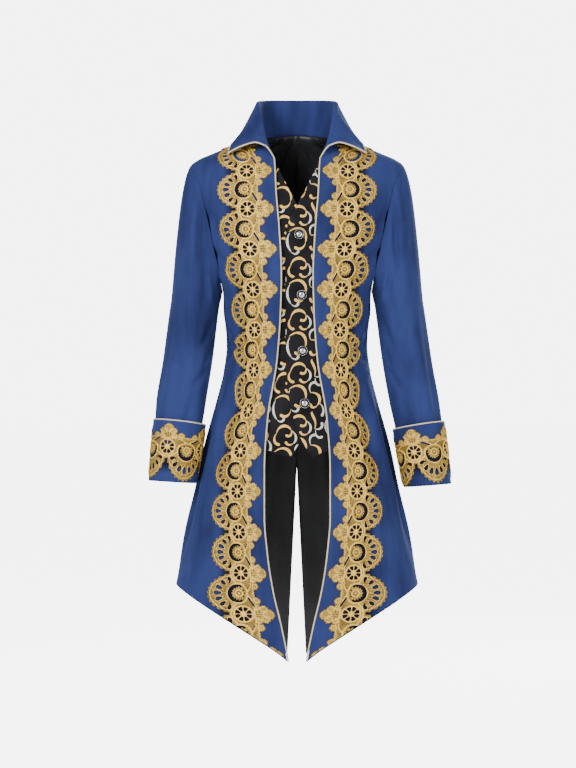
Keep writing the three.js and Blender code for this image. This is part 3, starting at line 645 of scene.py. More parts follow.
def back_places(rows, cols):
    row = np.linspace(0, BACK_ROWS["row"][-1], rows)[:, None]
    share = np.linspace(0, 1, cols)[None]
    middle, side = lookup(BACK_ROWS, "middle", row), lookup(BACK_ROWS, "side", row)
    turned = np.radians(lookup(BACK_ROWS, "turn", row))
    opening = np.clip((VENT_TOP_Z - middle) / (VENT_TOP_Z - BACK_TIP_Z), 0, 1) * TIP_HALF_GAP
    aside = turned + turn_at(opening + SEAM_GAP / 2, middle)
    start = np.minimum(aside, QUARTER - gap_turn(NECK_POINT_Z))
    start_z = mix(middle, NECK_POINT_Z, np.sin(turned) ** 2)
    end = armhole_turn(side, "back") - gap_turn(side)
    turn, z = across_line(start, start_z, end, side, share)
    return math.pi - turn, z


def flat_uv(turn, z):
    """The cloth's own coordinates in metres, round and down."""
    x = turn * (lookup(TORSO, "side", z) + 110) / 2
    return np.stack([x * MM, z * MM], -1)


def panel(name, places, side, depth, thickness, materials, gathers=None):
    turn, z = places
    signed = turn * side
    lift = -depth + (gathers(turn, z) if gathers else 0)
    face = torso(signed, z, lift)
    back = torso(signed, z, lift - thickness)
    return shell(name, face, back, flat_uv(signed, z), materials)


FRONT_GRID, BACK_GRID = (190, 48), (190, 44)
for name, side in (("left", 1), ("right", -1)):
    front = panel(f"front_{name}_cloth", front_places(*FRONT_GRID), side, 0, VELVET_WALL, (velvet, satin))
    keep(front, f"front_{name}", "velvet", flat=(0.34, 1.12), area=0.187)
    back = panel(f"back_{name}_cloth", back_places(*BACK_GRID), side, 0, VELVET_WALL, (velvet, satin))
    keep(back, f"back_{name}", "velvet", flat=(0.35, 1.21), area=0.243)

# %% The lining at the back
def lining_gathers(turn, z):
    """Soft upright gathers below the neck seam, and slack folds farther down."""
    near_neck = np.exp(-(((z - 10) / 70) ** 2))
    ripple = np.sin(turn * 46) * 0.8 + np.sin(turn * 71 + 1) * 0.5
    slack = 0.7 * np.sin(turn * 17 + z / 60) - 0.9
    return np.minimum(near_neck * ripple - 0.4 + slack, 0.1)


for name, side in (("left", 1), ("right", -1)):
    sheet = panel(f"lining_{name}_cloth", back_places(*BACK_GRID), side, LINING_DEPTH, SATIN_WALL, (satin, satin),
                  lining_gathers)
    keep(sheet, f"lining_{name}", "lining", flat=(0.35, 1.21), area=0.238)

# %% [markdown]
# ## Sleeves and cuffs
# Each sleeve is a tube set into its armhole: it leaves the seam at a slant, turns down over the shoulder and hangs
# a little forward. The turned-back cuff stands round the end of it. Both are lofts round the arm's centre line.

# %% The arms
ARMS = {
    "left": columns("z out forward wide deep", [
        (-689, 265, 35, 44, 42), (-619, 254.5, 31, 45.5, 44), (-558, 245, 26, 47.5, 46),
        (-517, 238, 21, 49.5, 49), (-414, 221.5, 8, 50.5, 54), (-330, 210.5, 1, 50, 59),
    ]),
    "right": columns("z out forward wide deep", [
        (-682, 253.5, 35, 44, 42), (-619, 246, 31, 45.5, 44), (-558, 239.5, 26, 47.5, 46),
        (-517, 235, 21, 49.5, 49), (-414, 220.5, 8, 50.5, 54), (-330, 210, 1, 50, 59),
    ]),
}
HEAD_BOTTOM_Z = -330
CUFF_HEIGHT = 118
CUFF_STANDOFF = (2.6, 4.6)
CUFF_WALL = 2.2


def arm_point(arm, z, round_, side, out=0.0):
    z, round_, out = np.broadcast_arrays(*(np.asarray(v, float) for v in (z, round_, out)))

    def centre(height):
        return np.stack([lookup(arm, "out", height), -lookup(arm, "forward", height), height], -1)

    along = unit(centre(z - 4) - centre(z + 4))
    sideways = unit(np.array([1.0, 0, 0]) - along * along[..., :1])
    forward = unit(np.cross(along, sideways))
    forward = np.where(forward[..., 1:2] < 0, forward, -forward)
    wide = (lookup(arm, "wide", z) + out) * np.cos(round_)
    deep = (lookup(arm, "deep", z) + out) * np.sin(round_)
    point = centre(z) + sideways * wide[..., None] + forward * deep[..., None]
    return point * np.array([side, 1, 1])


def armhole_point(round_, side):
    down = (1 - np.cos(round_)) / 2
    z = mix(SHOULDER_POINT_Z, ARMPIT_Z, down)
    in_front = np.sin(round_) >= 0
    turn = np.where(in_front, armhole_turn(z, "front"), math.pi - armhole_turn(z, "back"))
    return on_form(turn, z) * np.array([side, 1, 1])


def sleeve_point(arm, down, round_, side):
    down, round_ = np.broadcast_arrays(np.asarray(down, float), np.asarray(round_, float))
    over = np.clip(np.cos(round_), 0, 1) ** 1.5
    under = np.clip(-np.cos(round_), 0, 1) ** 1.5
    middle = 1 - over - under
    leave = np.stack([
        side * (78 * over + 70 * middle + 6 * under),
        -40 * np.sin(round_) * middle,
        -(120 * over + 110 * middle + 30 * under),
    ], -1)
    start = armhole_point(round_, side) + np.array([side * (SEAM_GAP + 0.2), 0, 0])
    end = arm_point(arm, HEAD_BOTTOM_Z, round_, side)
    onward = arm_point(arm, HEAD_BOTTOM_Z - 10, round_, side) - end
    span = np.linalg.norm(end - start, axis=-1, keepdims=True)
    t = np.clip(down, 0, 1)[..., None]
    head = (
        start * (1 + 2 * t) * (1 - t) ** 2
        + leave * t * (1 - t) ** 2
        + end * t**2 * (3 - 2 * t)
        + onward * (span / 10) * 0.8 * t**2 * (t - 1)
    )
    below = arm_point(arm, mix(HEAD_BOTTOM_Z, arm["z"][0], np.clip(down - 1, 0, 1)), round_, side)
    return np.where(down[..., None] >= 1, below, head)


def grid_normals(grid, wraps=False):
    """Directions square to a grid of points, from the points beside each."""
    if wraps:
        across = np.roll(grid, -1, 1) - np.roll(grid, 1, 1)
    else:
        across = np.gradient(grid, axis=1)
    return unit(np.cross(np.gradient(grid, axis=0), across))


print("left cuff ends at", ARMS["left"]["z"][0], "mm")

# %% The sleeves' creases and cloth
# round: degrees round the arm, 0 outside, 90 in front, 180 inside, 270 behind; down: 0 armhole, 1 armpit level,
# 2 wrist. Then half width and depth in millimetres.
SLEEVE_CREASES = [
    (68, 0.04, 92, 0.62, 9, -3.4), (50, 0.03, 66, 0.5, 9, 1.8), (98, 0.1, 118, 0.8, 8, -2.8),
    (112, 0.25, 136, 0.98, 9, 2.2), (36, 0.02, 44, 0.3, 10, -1.6), (128, 0.4, 108, 1.2, 10, -2.4),
    (150, 1.02, 118, 1.26, 8, -2.6), (170, 1.1, 136, 1.36, 7, -2.2), (156, 1.3, 108, 1.5, 9, -1.8),
    (92, 1.15, 84, 1.7, 11, -1.5), (62, 1.05, 60, 1.8, 14, 1.5), (30, 0.7, 34, 1.9, 15, -1.2),
    (120, 1.45, 98, 1.92, 10, -1.6), (140, 1.55, 150, 1.95, 10, 1.4), (14, 1.3, 8, 1.95, 12, 1.2),
    (292, 0.04, 268, 0.62, 9, -3.2), (312, 0.03, 296, 0.5, 9, 1.8), (262, 0.12, 242, 0.8, 8, -2.8),
    (248, 0.3, 226, 1.0, 9, 2.2), (212, 1.05, 250, 1.3, 8, -2.6), (200, 1.2, 236, 1.42, 8, -2.0),
    (286, 1.1, 292, 1.85, 13, -1.8), (262, 1.3, 268, 1.9, 12, 1.8), (324, 0.8, 330, 1.85, 14, 1.3),
]


def sleeve_fold(down, degrees, sway):
    total = np.zeros(np.broadcast(down, degrees).shape)
    for start, start_down, end, end_down, half_width, depth in SLEEVE_CREASES:
        along = np.clip((down - start_down) / (end_down - start_down), 0, 1)
        middle = mix(start, end, along) + 2 * np.sin(along * 4 + start + sway)
        apart = (degrees - middle + 180) % 360 - 180
        total += fold_height(apart * 0.9, along, half_width, depth * (1 + 0.25 * math.sin(start + sway * 7)))
    ripple = 0.35 * np.sin(down * 9 + np.radians(degrees) * 2 + sway) * np.sin(down * 4.3 - np.radians(degrees) * 3)
    return (total + ripple) * np.clip(down / 0.05, 0, 1) * np.clip((2 - down) / 0.15, 0.2, 1)


SLEEVE_GRID = (150, 104)


def outer_normals(grid, side):
    normal = grid_normals(grid, wraps=True)
    centre = grid.mean(axis=1, keepdims=True)
    return normal * np.sign(np.mean(np.sum(normal * (grid - centre), -1)))


for name, side in (("left", 1), ("right", -1)):
    arm = ARMS[name]
    rows, cols = SLEEVE_GRID
    down = np.linspace(0, 2, rows)[:, None]
    around = np.arange(cols)[None] * 2 * math.pi / cols
    base = sleeve_point(arm, down, around, side)
    normal = outer_normals(base, side)
    fold = sleeve_fold(down, np.degrees(around), 0.3 if side > 0 else 1.1)
    face = base + normal * fold[..., None]
    back = base + normal * (fold - VELVET_WALL)[..., None]
    uv = np.stack([around * 0.05 + 0 * down, base[..., 2] * MM], -1)
    made = shell(f"sleeve_{name}_cloth", face, back, uv, (velvet, satin), wraps=True)
    keep(made, f"sleeve_{name}", "velvet", flat=(0.455, 0.655), area=0.174)

# %% The cuffs
CUFF_GRID = (26, 128)


def cuff_gap(up):
    return mix(CUFF_STANDOFF[0], CUFF_STANDOFF[1], up / CUFF_HEIGHT)


def cuff_point(arm, up, around, side, out=0.0):
    """The cuff's outer face, a touch out of round and wavy along its top."""
    up, around = np.broadcast_arrays(np.asarray(up, float), np.asarray(around, float))
    soft = 0.5 * np.sin(around * 3 + side) + 0.35 * np.sin(around * 5 + 2 * side)
    stand = cuff_gap(up) + CUFF_WALL + out + soft * up / CUFF_HEIGHT
    return arm_point(arm, arm["z"][0] + up, around, side, stand)


for name, side in (("left", 1), ("right", -1)):
    arm = ARMS[name]
    rows, cols = CUFF_GRID
    up = np.linspace(0, CUFF_HEIGHT, rows)[:, None]
    around = np.arange(cols)[None] * 2 * math.pi / cols
    face = cuff_point(arm, up, around, side)
    back = cuff_point(arm, up, around, side, -CUFF_WALL)
    uv = np.stack([around * 0.052 + 0 * up, up * MM + 0 * around], -1)
    made = shell(f"cuff_{name}_cloth", face, back, uv, (velvet, velvet), wraps=True)
    keep(made, f"cuff_{name}", "velvet", flat=(0.33, 0.123), area=0.038)

# %% [markdown]
# ## The collar
# The collar is one folded strip: it stands up from the neckline, turns over at its fold and falls to a pointed
# edge on each side. It is lofted through a section for each station round the neck, and the sections between are
# smooth curves. Small dimples show where the stiffened corner is pulled down at the break.

# %% The collar's cloth
COLLAR = columns("seam fx fy fz ex ey ez", [
    (0, 0, 84, 108, 0, 106, 22), (0.35, 40, 74, 107, 52, 96, 20), (0.68, 66, 48, 103, 94, 66, 16),
    (1, 77, 8, 95, 120, 14, 15), (1.3, 74, -27, 70, 131, -35, 7), (1.52, 69, -50, 42, 138, -64, -16),
    (1.68, 65, -62, 20, 111, -79, -4), (1.82, 60, -70, 3, 84, -84, 2), (1.93, 54, -77, -12, 64, -87, -5),
])
COLLAR_WALL = 2.4
COLLAR_LIFT = 1.2
FOLD_RADIUS = 4
STAND_STEPS, BEND_STEPS, FALL_STEPS = 14, 10, 26


def neckline_point(seam):
    if seam <= 1:
        turned = seam * QUARTER
        z = mix(BACK_NECK_Z, NECK_POINT_Z, math.sin(turned) ** 2)
        return on_form(math.pi - turned, z)
    z = mix(NECK_POINT_Z, BREAK_Z, (seam - 1) ** 1.6)
    return on_form(min(float(turn_at(lookup(FRONT_EDGE, "x", z), z)), QUARTER), z)


def collar_profile(seam, side):
    """The middle of the collar's cloth at one station: up the stand, round the fold, down to the edge."""
    mirror = np.array([side, 1, 1])
    foot = neckline_point(seam) * mirror + np.array([0, 0, COLLAR_LIFT + COLLAR_WALL / 2])
    fold = np.array([lookup(COLLAR, k, seam) for k in ("fx", "fy", "fz")], float) * mirror
    edge = np.array([lookup(COLLAR, k, seam) for k in ("ex", "ey", "ez")], float) * mirror
    rise = fold - foot
    radius = min(FOLD_RADIUS, np.linalg.norm(rise) * 0.18)
    up = unit(rise)
    towards = edge - foot
    outwards = unit(towards - up * np.dot(up, towards))
    centre = fold - up * radius + outwards * radius
    stand = [mix(foot, fold - up * radius, k / STAND_STEPS) for k in range(STAND_STEPS)]
    angles = np.linspace(0, math.pi, BEND_STEPS + 1)
    bend = [centre - outwards * radius * math.cos(a) + up * radius * math.sin(a) for a in angles]
    start = bend[-1]
    length = np.linalg.norm(edge - start)
    fall = []
    for k in range(1, FALL_STEPS + 1):
        share = k / FALL_STEPS
        dimple = -2.2 * math.exp(-(((seam - 1.45) / 0.07) ** 2)) * math.exp(-(((share - 0.35) / 0.2) ** 2))
        dimple += -1.6 * math.exp(-(((seam - 1.2) / 0.1) ** 2)) * math.exp(-(((share - 0.5) / 0.35) ** 2))
        swell = length * 0.012 * math.sin(share * math.pi)
        fall.append(mix(start, edge, share) + outwards * (swell + dimple))
    return np.array(stand + bend + fall)


stations = np.concatenate([np.linspace(0, 1.3, 40)[:-1], np.linspace(1.3, 1.93, 44)])
collar_grid = np.array(
    [collar_profile(s, -1) for s in stations[::-1]] + [collar_profile(s, 1) for s in stations[1:]]
)
normal = grid_normals(collar_grid)
along = np.cumsum(np.linalg.norm(np.diff(collar_grid[:, 20], axis=0, prepend=collar_grid[:1, 20]), axis=-1))
across = np.linspace(0, 190, collar_grid.shape[1])
collar_uv = np.stack(np.meshgrid(along * MM, across * MM, indexing="ij"), -1)
collar = shell("collar_cloth", collar_grid + normal * COLLAR_WALL / 2, collar_grid - normal * COLLAR_WALL / 2,
               collar_uv, (velvet, velvet))
keep(collar, "collar", "velvet", flat=(0.68, 0.177), area=0.071)

# %% [markdown]
# ## The lace unit
# The gold lace is a common scalloped edging: fans on one side, spurs on the other, and a rosette between every two
# fans. One repeat is drawn flat, as a lace maker charts it, from circles, ovals and cords. A chart could be painted
# as a picture, but here the cloth is really cut: where the chart has no thread, the mesh has a hole, and the cords
# stand up from the ground. The chart is mirrored in the middle of each fan, so only half of it is written down.

# %% Drawing tools for the chart
PITCH = 80.8
FIRST_ROSETTE_Z = -52
LACE_WIDTH = 115


def disc(x, y, cx, cy, r):
    return np.hypot(x - cx, y - cy) - r


def oval(x, y, cx, cy, rx, ry):
    """Signed distance, near enough, from an oval's outline."""
    dx, dy = x - cx, y - cy
    share = np.maximum(np.hypot(dx / rx, dy / ry), 1e-6)
    return (share - 1) * np.hypot(dx, dy) / share


def stroke(x, y, path):
    """Distance from a line through points."""
    best = np.full(np.shape(x), 1e9)
    for (ax, ay), (bx, by) in zip(path, path[1:]):
        dx, dy = bx - ax, by - ay
        t = np.clip(((x - ax) * dx + (y - ay) * dy) / (dx * dx + dy * dy), 0, 1)
        best = np.minimum(best, np.hypot(x - ax - t * dx, y - ay - t * dy))
    return best


def cord_bump(distance, width, height=1.0):
    return height * np.exp(-((distance / (width / 2)) ** 2))


def lobe(x, y, cx, cy, r, picots, turn=0.0):
    """A round leaf with small picots round it."""
    angle = np.arctan2(y - cy, x - cx)
    return disc(x, y, cx, cy, r) - 2.0 * np.abs(np.cos(angle * picots / 2 + turn))


# %% The chart: where there is thread, and how high
KNOT_X, KNOT_Y = 56.5, PITCH / 2
FAN_OUT, FAN_HALF = 55, 38.5
CHART_SHIFT = 4.5  # draws the rosettes and knots towards the spurs


def lace_chart(x, y):
    """Cover above 0 where there is thread, and relief from 0 to 1, for places on one repeat."""
    x = x + CHART_SHIFT * np.sin(math.pi * np.clip(x / LACE_WIDTH, 0, 1))
    m = np.minimum(y % PITCH, PITCH - y % PITCH)
    above = (y % PITCH) < PITCH / 2
    up = KNOT_Y - m
    fan_angle = np.arctan2(up / FAN_HALF, (x - KNOT_X) / FAN_OUT)
    fan = oval(x, m, KNOT_X, KNOT_Y, FAN_OUT, FAN_HALF)
    rim = fan - 3.4 * np.abs(np.cos(fan_angle * 14)) ** 1.2
    left = 27.5 + 3.2 * (1 - np.cos(m / KNOT_Y * math.pi)) / 2 - 1.6 * np.abs(np.sin(m * 0.62))
    link = stroke(x, m, [(58, 26), (63, 19.5), (68.5, 13), (71.5, 5), (72, 0)])
    cover = np.where(x > KNOT_X - 2, rim, 1e9)
    cover = np.minimum(cover, np.maximum(left - x, x - 66))
    cover = np.minimum(cover, disc(x, m, 52, 0, 18.5))
    cover = np.minimum(cover, link - 2.6 - 1.4 * np.abs(np.sin(m * 0.7)))
    tip, side_lobe = lobe(x, m, 11.6, 0, 9.2, 15), lobe(x, m, 18, 9.3, 7.0, 12, 0.6)
    flank = lobe(x, m, 27.5, 26, 6.0, 12, 0.4)
    stem = np.maximum(np.abs(m) - 9.5, np.maximum(12 - x, x - 34))
    step = lobe(x, m, 29, 13.5, 5.6, 10, 0.9)
    for piece in (tip, side_lobe, flank, stem, step):
        cover = np.minimum(cover, piece)

    # the open places
    angle = np.arctan2(up, x - KNOT_X)
    r = np.hypot(up, x - KNOT_X)
    holes = []
    for degrees in (0, 21, 42, 63):
        a = math.radians(degrees)
        cx, cy = KNOT_X + 38 * math.cos(a), KNOT_Y - 30.5 * math.sin(a)
        along = (x - cx) * math.cos(a) - (m - cy) * math.sin(a)
        beside = (x - cx) * math.sin(a) + (m - cy) * math.cos(a)
        size = 1 - 0.22 * degrees / 63
        holes.append(oval(along, beside, 0, 0, 7.2 * size, (4.3 + 0.24 * along) * size))
    comb = 11.2 + 2.6 * np.clip(np.sin(angle * 17) * 2 + 0.2, 0, 1)
    outer = 20.4 - 2.9 * (1 - np.cos(angle)) ** 1.2
    holes.append(np.maximum(np.maximum(comb - r, r - outer), (np.abs(angle) - math.radians(112)) * 12))
    holes.append(np.minimum(disc(x, up, KNOT_X - 9.6, 0, 1.5), disc(x, up, KNOT_X - 7.6, 6.2, 1.5)))
    petal = np.abs((np.arctan2(m, x - 52) / (math.pi / 4)) % 1 - 0.5) * (math.pi / 4)
    rose = np.hypot(x - 52, m)
    gap = (0.5 * math.pi / 4 - petal) * rose
    gap_width = 1.3 + 2.3 * np.clip((rose - 5.5) / 5, 0, 1)
    holes.append(np.maximum(np.maximum(5.4 - rose, rose - 14.2), (petal * rose) - gap_width))
    slit = stroke(x, m, [(40.6, 31.5), (36.5, 24), (32.3, 14.5)]) - 1.9 * np.clip((m - 10) / 8, 0, 1)
    net = np.minimum(disc(x, m, 40, 30, 1.2), disc(x, m, 36.4, 24, 1.3))
    net = np.minimum(net, np.minimum(disc(x, m, 37.6, 28, 1.0), disc(x, m, 33.4, 18.5, 1.2)))
    holes.append(np.where(above, net, slit))
    holes.append(np.minimum(disc(x, m, 73.5, 19.5, 1.7), disc(x, m, 68, 25.5, 1.3)))
    holes.append(np.minimum(disc(x, m, 80, 9.5, 1.3), disc(x, m, 26.5, 4, 1.2)))
    holes.append(disc(x, m, 21.5, 4.5, 1.0))
    for hole in holes:
        cover = np.maximum(cover, -hole)

    # the relief
    relief = 0.27 + 0.24 * np.sin(x * 1.9 + m * 1.2) * np.sin(m * 2.1 - x * 0.8)
    bumps = [
        cord_bump(fan + 1.4 + 1.2 * np.abs(np.cos(fan_angle * 14)), 2.2, 0.8),
        cord_bump(np.minimum(fan + 8.6 + 1.6 * np.cos(fan_angle * 18 * 0.98), 40), 2.6, 0.6) * (x > KNOT_X - 2),
        cord_bump(holes[0], 2.4, 0.75), cord_bump(holes[1], 2.4, 0.75), cord_bump(holes[2], 2.4, 0.75),
        cord_bump(holes[3], 2.4, 0.7),
        cord_bump(np.sin(angle * 15) * r / 15 * 1.6, 2.4, 0.55) * ((r > 22) & (r < 33) & (x > KNOT_X - 4)),
        cord_bump(np.hypot(r - 6.4, 0), 2.6, 0.85),
        cord_bump(r, 4.2, 0.95),
        cord_bump(np.sin(angle * 9) * r / 9 * 1.6, 2.0, 0.6) * ((r > 8.5) & (r < 12.6)),
        cord_bump(disc(x, m, 52, 0, 15.6), 2.8, 0.95),
        cord_bump(petal * rose - (0.5 * math.pi / 4) * rose, 2.9, 0.9) * (rose < 15),
        cord_bump(rose, 5.5, 1.0),
        cord_bump(link, 2.8, 1.0),
        cord_bump(stroke(x, m, [(43.5, 40.4), (39.5, 34), (36, 27), (33.5, 17), (33, 8), (34.5, 0)]), 2.6, 0.9),
        cord_bump(x - left - 2.0, 2.4, 0.7) * (m > 6),
        cord_bump(x - left - 5.4, 1.8, 0.45) * (m > 12),
    ]
    eye = np.where(x > KNOT_X, oval(x, m, KNOT_X, KNOT_Y, 21.4, 19.2),
                   (np.hypot((x - KNOT_X) / 14.5, up / 19.2) ** 1.25 - 1) * 13)
    bumps.append(cord_bump(eye, 2.8, 1.0))
    for cx, cy, r0 in ((11.6, 0, 9.2), (18, 9.3, 7.0), (27.5, 26, 6.0), (29, 13.5, 5.6)):
        away = np.hypot(x - cx, m - cy)
        bumps.append(cord_bump(away - r0 + 1.6, 2.0, 0.75) * (away < r0 + 2))
        spiral = away - r0 * 0.42
        bumps.append(cord_bump(spiral, 1.8, 0.55) * (away < r0))
        bumps.append(cord_bump(away, 2.2, 0.8))
    bumps.append(cord_bump(np.abs(m) - 2.6, 1.8, 0.6) * (x > 17) * (x < 33))
    for bump in bumps:
        relief = np.maximum(relief, bump)
    return -cover, np.clip(relief, 0, 1)


# %% Cutting a mesh along a value
def cut(points, triangles, value, extra):
    """Keeps the part of a mesh where value is above 0, with new points on the cut line."""
    points, extra = list(map(tuple, points)), list(extra)
    inside = value[triangles] > 0
    total = inside.sum(1)
    kept = [tuple(t) for t in triangles[total == 3]]
    made = {}

    def crossing(a, b):
        key = (a, b) if a < b else (b, a)
        if key not in made:
            share = value[key[0]] / (value[key[0]] - value[key[1]])
            share = min(max(share, 0.02), 0.98)
            made[key] = len(points)
            pa, pb = points[key[0]], points[key[1]]
            points.append(tuple(u + (v - u) * share for u, v in zip(pa, pb)))
            extra.append(extra[key[0]] + (extra[key[1]] - extra[key[0]]) * share)
        return made[key]

    for t, keep_corner in zip(triangles[(total > 0) & (total < 3)], inside[(total > 0) & (total < 3)]):
        ring = []
        for k in range(3):
            a, b = int(t[k]), int(t[(k + 1) % 3])
            if keep_corner[k]:
                ring.append(a)
            if keep_corner[k] != keep_corner[(k + 1) % 3]:
                ring.append(crossing(a, b))
        kept.extend((ring[0], ring[k], ring[k + 1]) for k in range(1, len(ring) - 1))
    used, faces = np.unique(np.array(kept), return_inverse=True)
    faces = faces.reshape(-1, 3)
    return np.array(points)[used], faces, np.array(extra)[used]


def grid_triangles(rows, cols):
    index = np.arange(rows * cols).reshape(rows, cols)
    a, b, c, d = index[:-1, :-1], index[:-1, 1:], index[1:, 1:], index[1:, :-1]
    odd = (np.add.outer(np.arange(rows - 1), np.arange(cols - 1)) % 2).astype(bool)
    first = np.where(odd[..., None], np.stack([a, b, c], -1), np.stack([a, b, d], -1))
    second = np.where(odd[..., None], np.stack([a, c, d], -1), np.stack([b, c, d], -1))
    return np.concatenate([first.reshape(-1, 3), second.reshape(-1, 3)])


def open_edges(triangles):
    """The edges that only one triangle has, in that triangle's direction."""
    edges = np.concatenate([triangles[:, [0, 1]], triangles[:, [1, 2]], triangles[:, [2, 0]]])
    ordered = np.sort(edges, 1)
    _, first, count = np.unique(ordered, axis=0, return_index=True, return_counts=True)
    return edges[first[count == 1]]


# %% One repeat as a mesh
LACE_STEP = 1.22
LACE_LOW, LACE_RAISE = 0.4, 2.0


def lace_unit(name):
    cols = round((LACE_WIDTH + 4) / LACE_STEP)
    rows = round(PITCH / LACE_STEP)
    x, y = np.meshgrid(np.linspace(-2, LACE_WIDTH + 2, cols + 1), np.linspace(0, PITCH, rows + 1))
    cover, relief = lace_chart(x.ravel(), y.ravel())
    flat = np.stack([x.ravel(), y.ravel(), 0 * x.ravel()], -1)
    points, faces, relief = cut(flat, grid_triangles(rows + 1, cols + 1), cover, relief)
    u, v = (points[faces[:, k], :2] - points[faces[:, 0], :2] for k in (1, 2))
    thread = np.abs(u[:, 0] * v[:, 1] - u[:, 1] * v[:, 0]).sum() / 2
    print(f"{name}: the thread of one repeat covers {thread:.0f} mm2 of {LACE_WIDTH * PITCH:.0f}")
    points[:, 2] = LACE_LOW + LACE_RAISE * relief
    edges = open_edges(faces)
    ends = [np.all(np.abs(points[edges, 1] - line) < 1e-6, axis=1) for line in (0, PITCH)]
    edges = edges[~(ends[0] | ends[1])]
    low, where = np.unique(edges, return_inverse=True)
    where = where.reshape(-1, 2) + len(points)
    floor = points[low].copy()
    floor[:, 2] = 0
    walls = np.concatenate([
        np.stack([edges[:, 1], edges[:, 0], where[:, 0]], -1),
        np.stack([edges[:, 1], where[:, 0], where[:, 1]], -1),
    ])
    points = np.concatenate([points, floor])
    made = to_object(name, points, np.concatenate([faces, walls]))
    layer = made.data.attributes.new("relief", "FLOAT", "POINT")
    layer.data.foreach_set("value", np.concatenate([relief, np.zeros(len(low))]).astype(np.float32))
    made.data.set_sharp_from_angle(angle=math.radians(50))
    return made

# %% [markdown]
# ## Laying a repeat along a cloth
# The same node tree lays the lace and the brocade's scrolls. It copies one flat repeat in rows, joins the copies,
# and moves each point to the place on a guide cloth that has the same flat coordinates, raised along the guide's
# own direction. Copying by hand would do as well, but the tree keeps the number of repeats and their spacing as
# plain inputs, and follows whatever guide it is given.

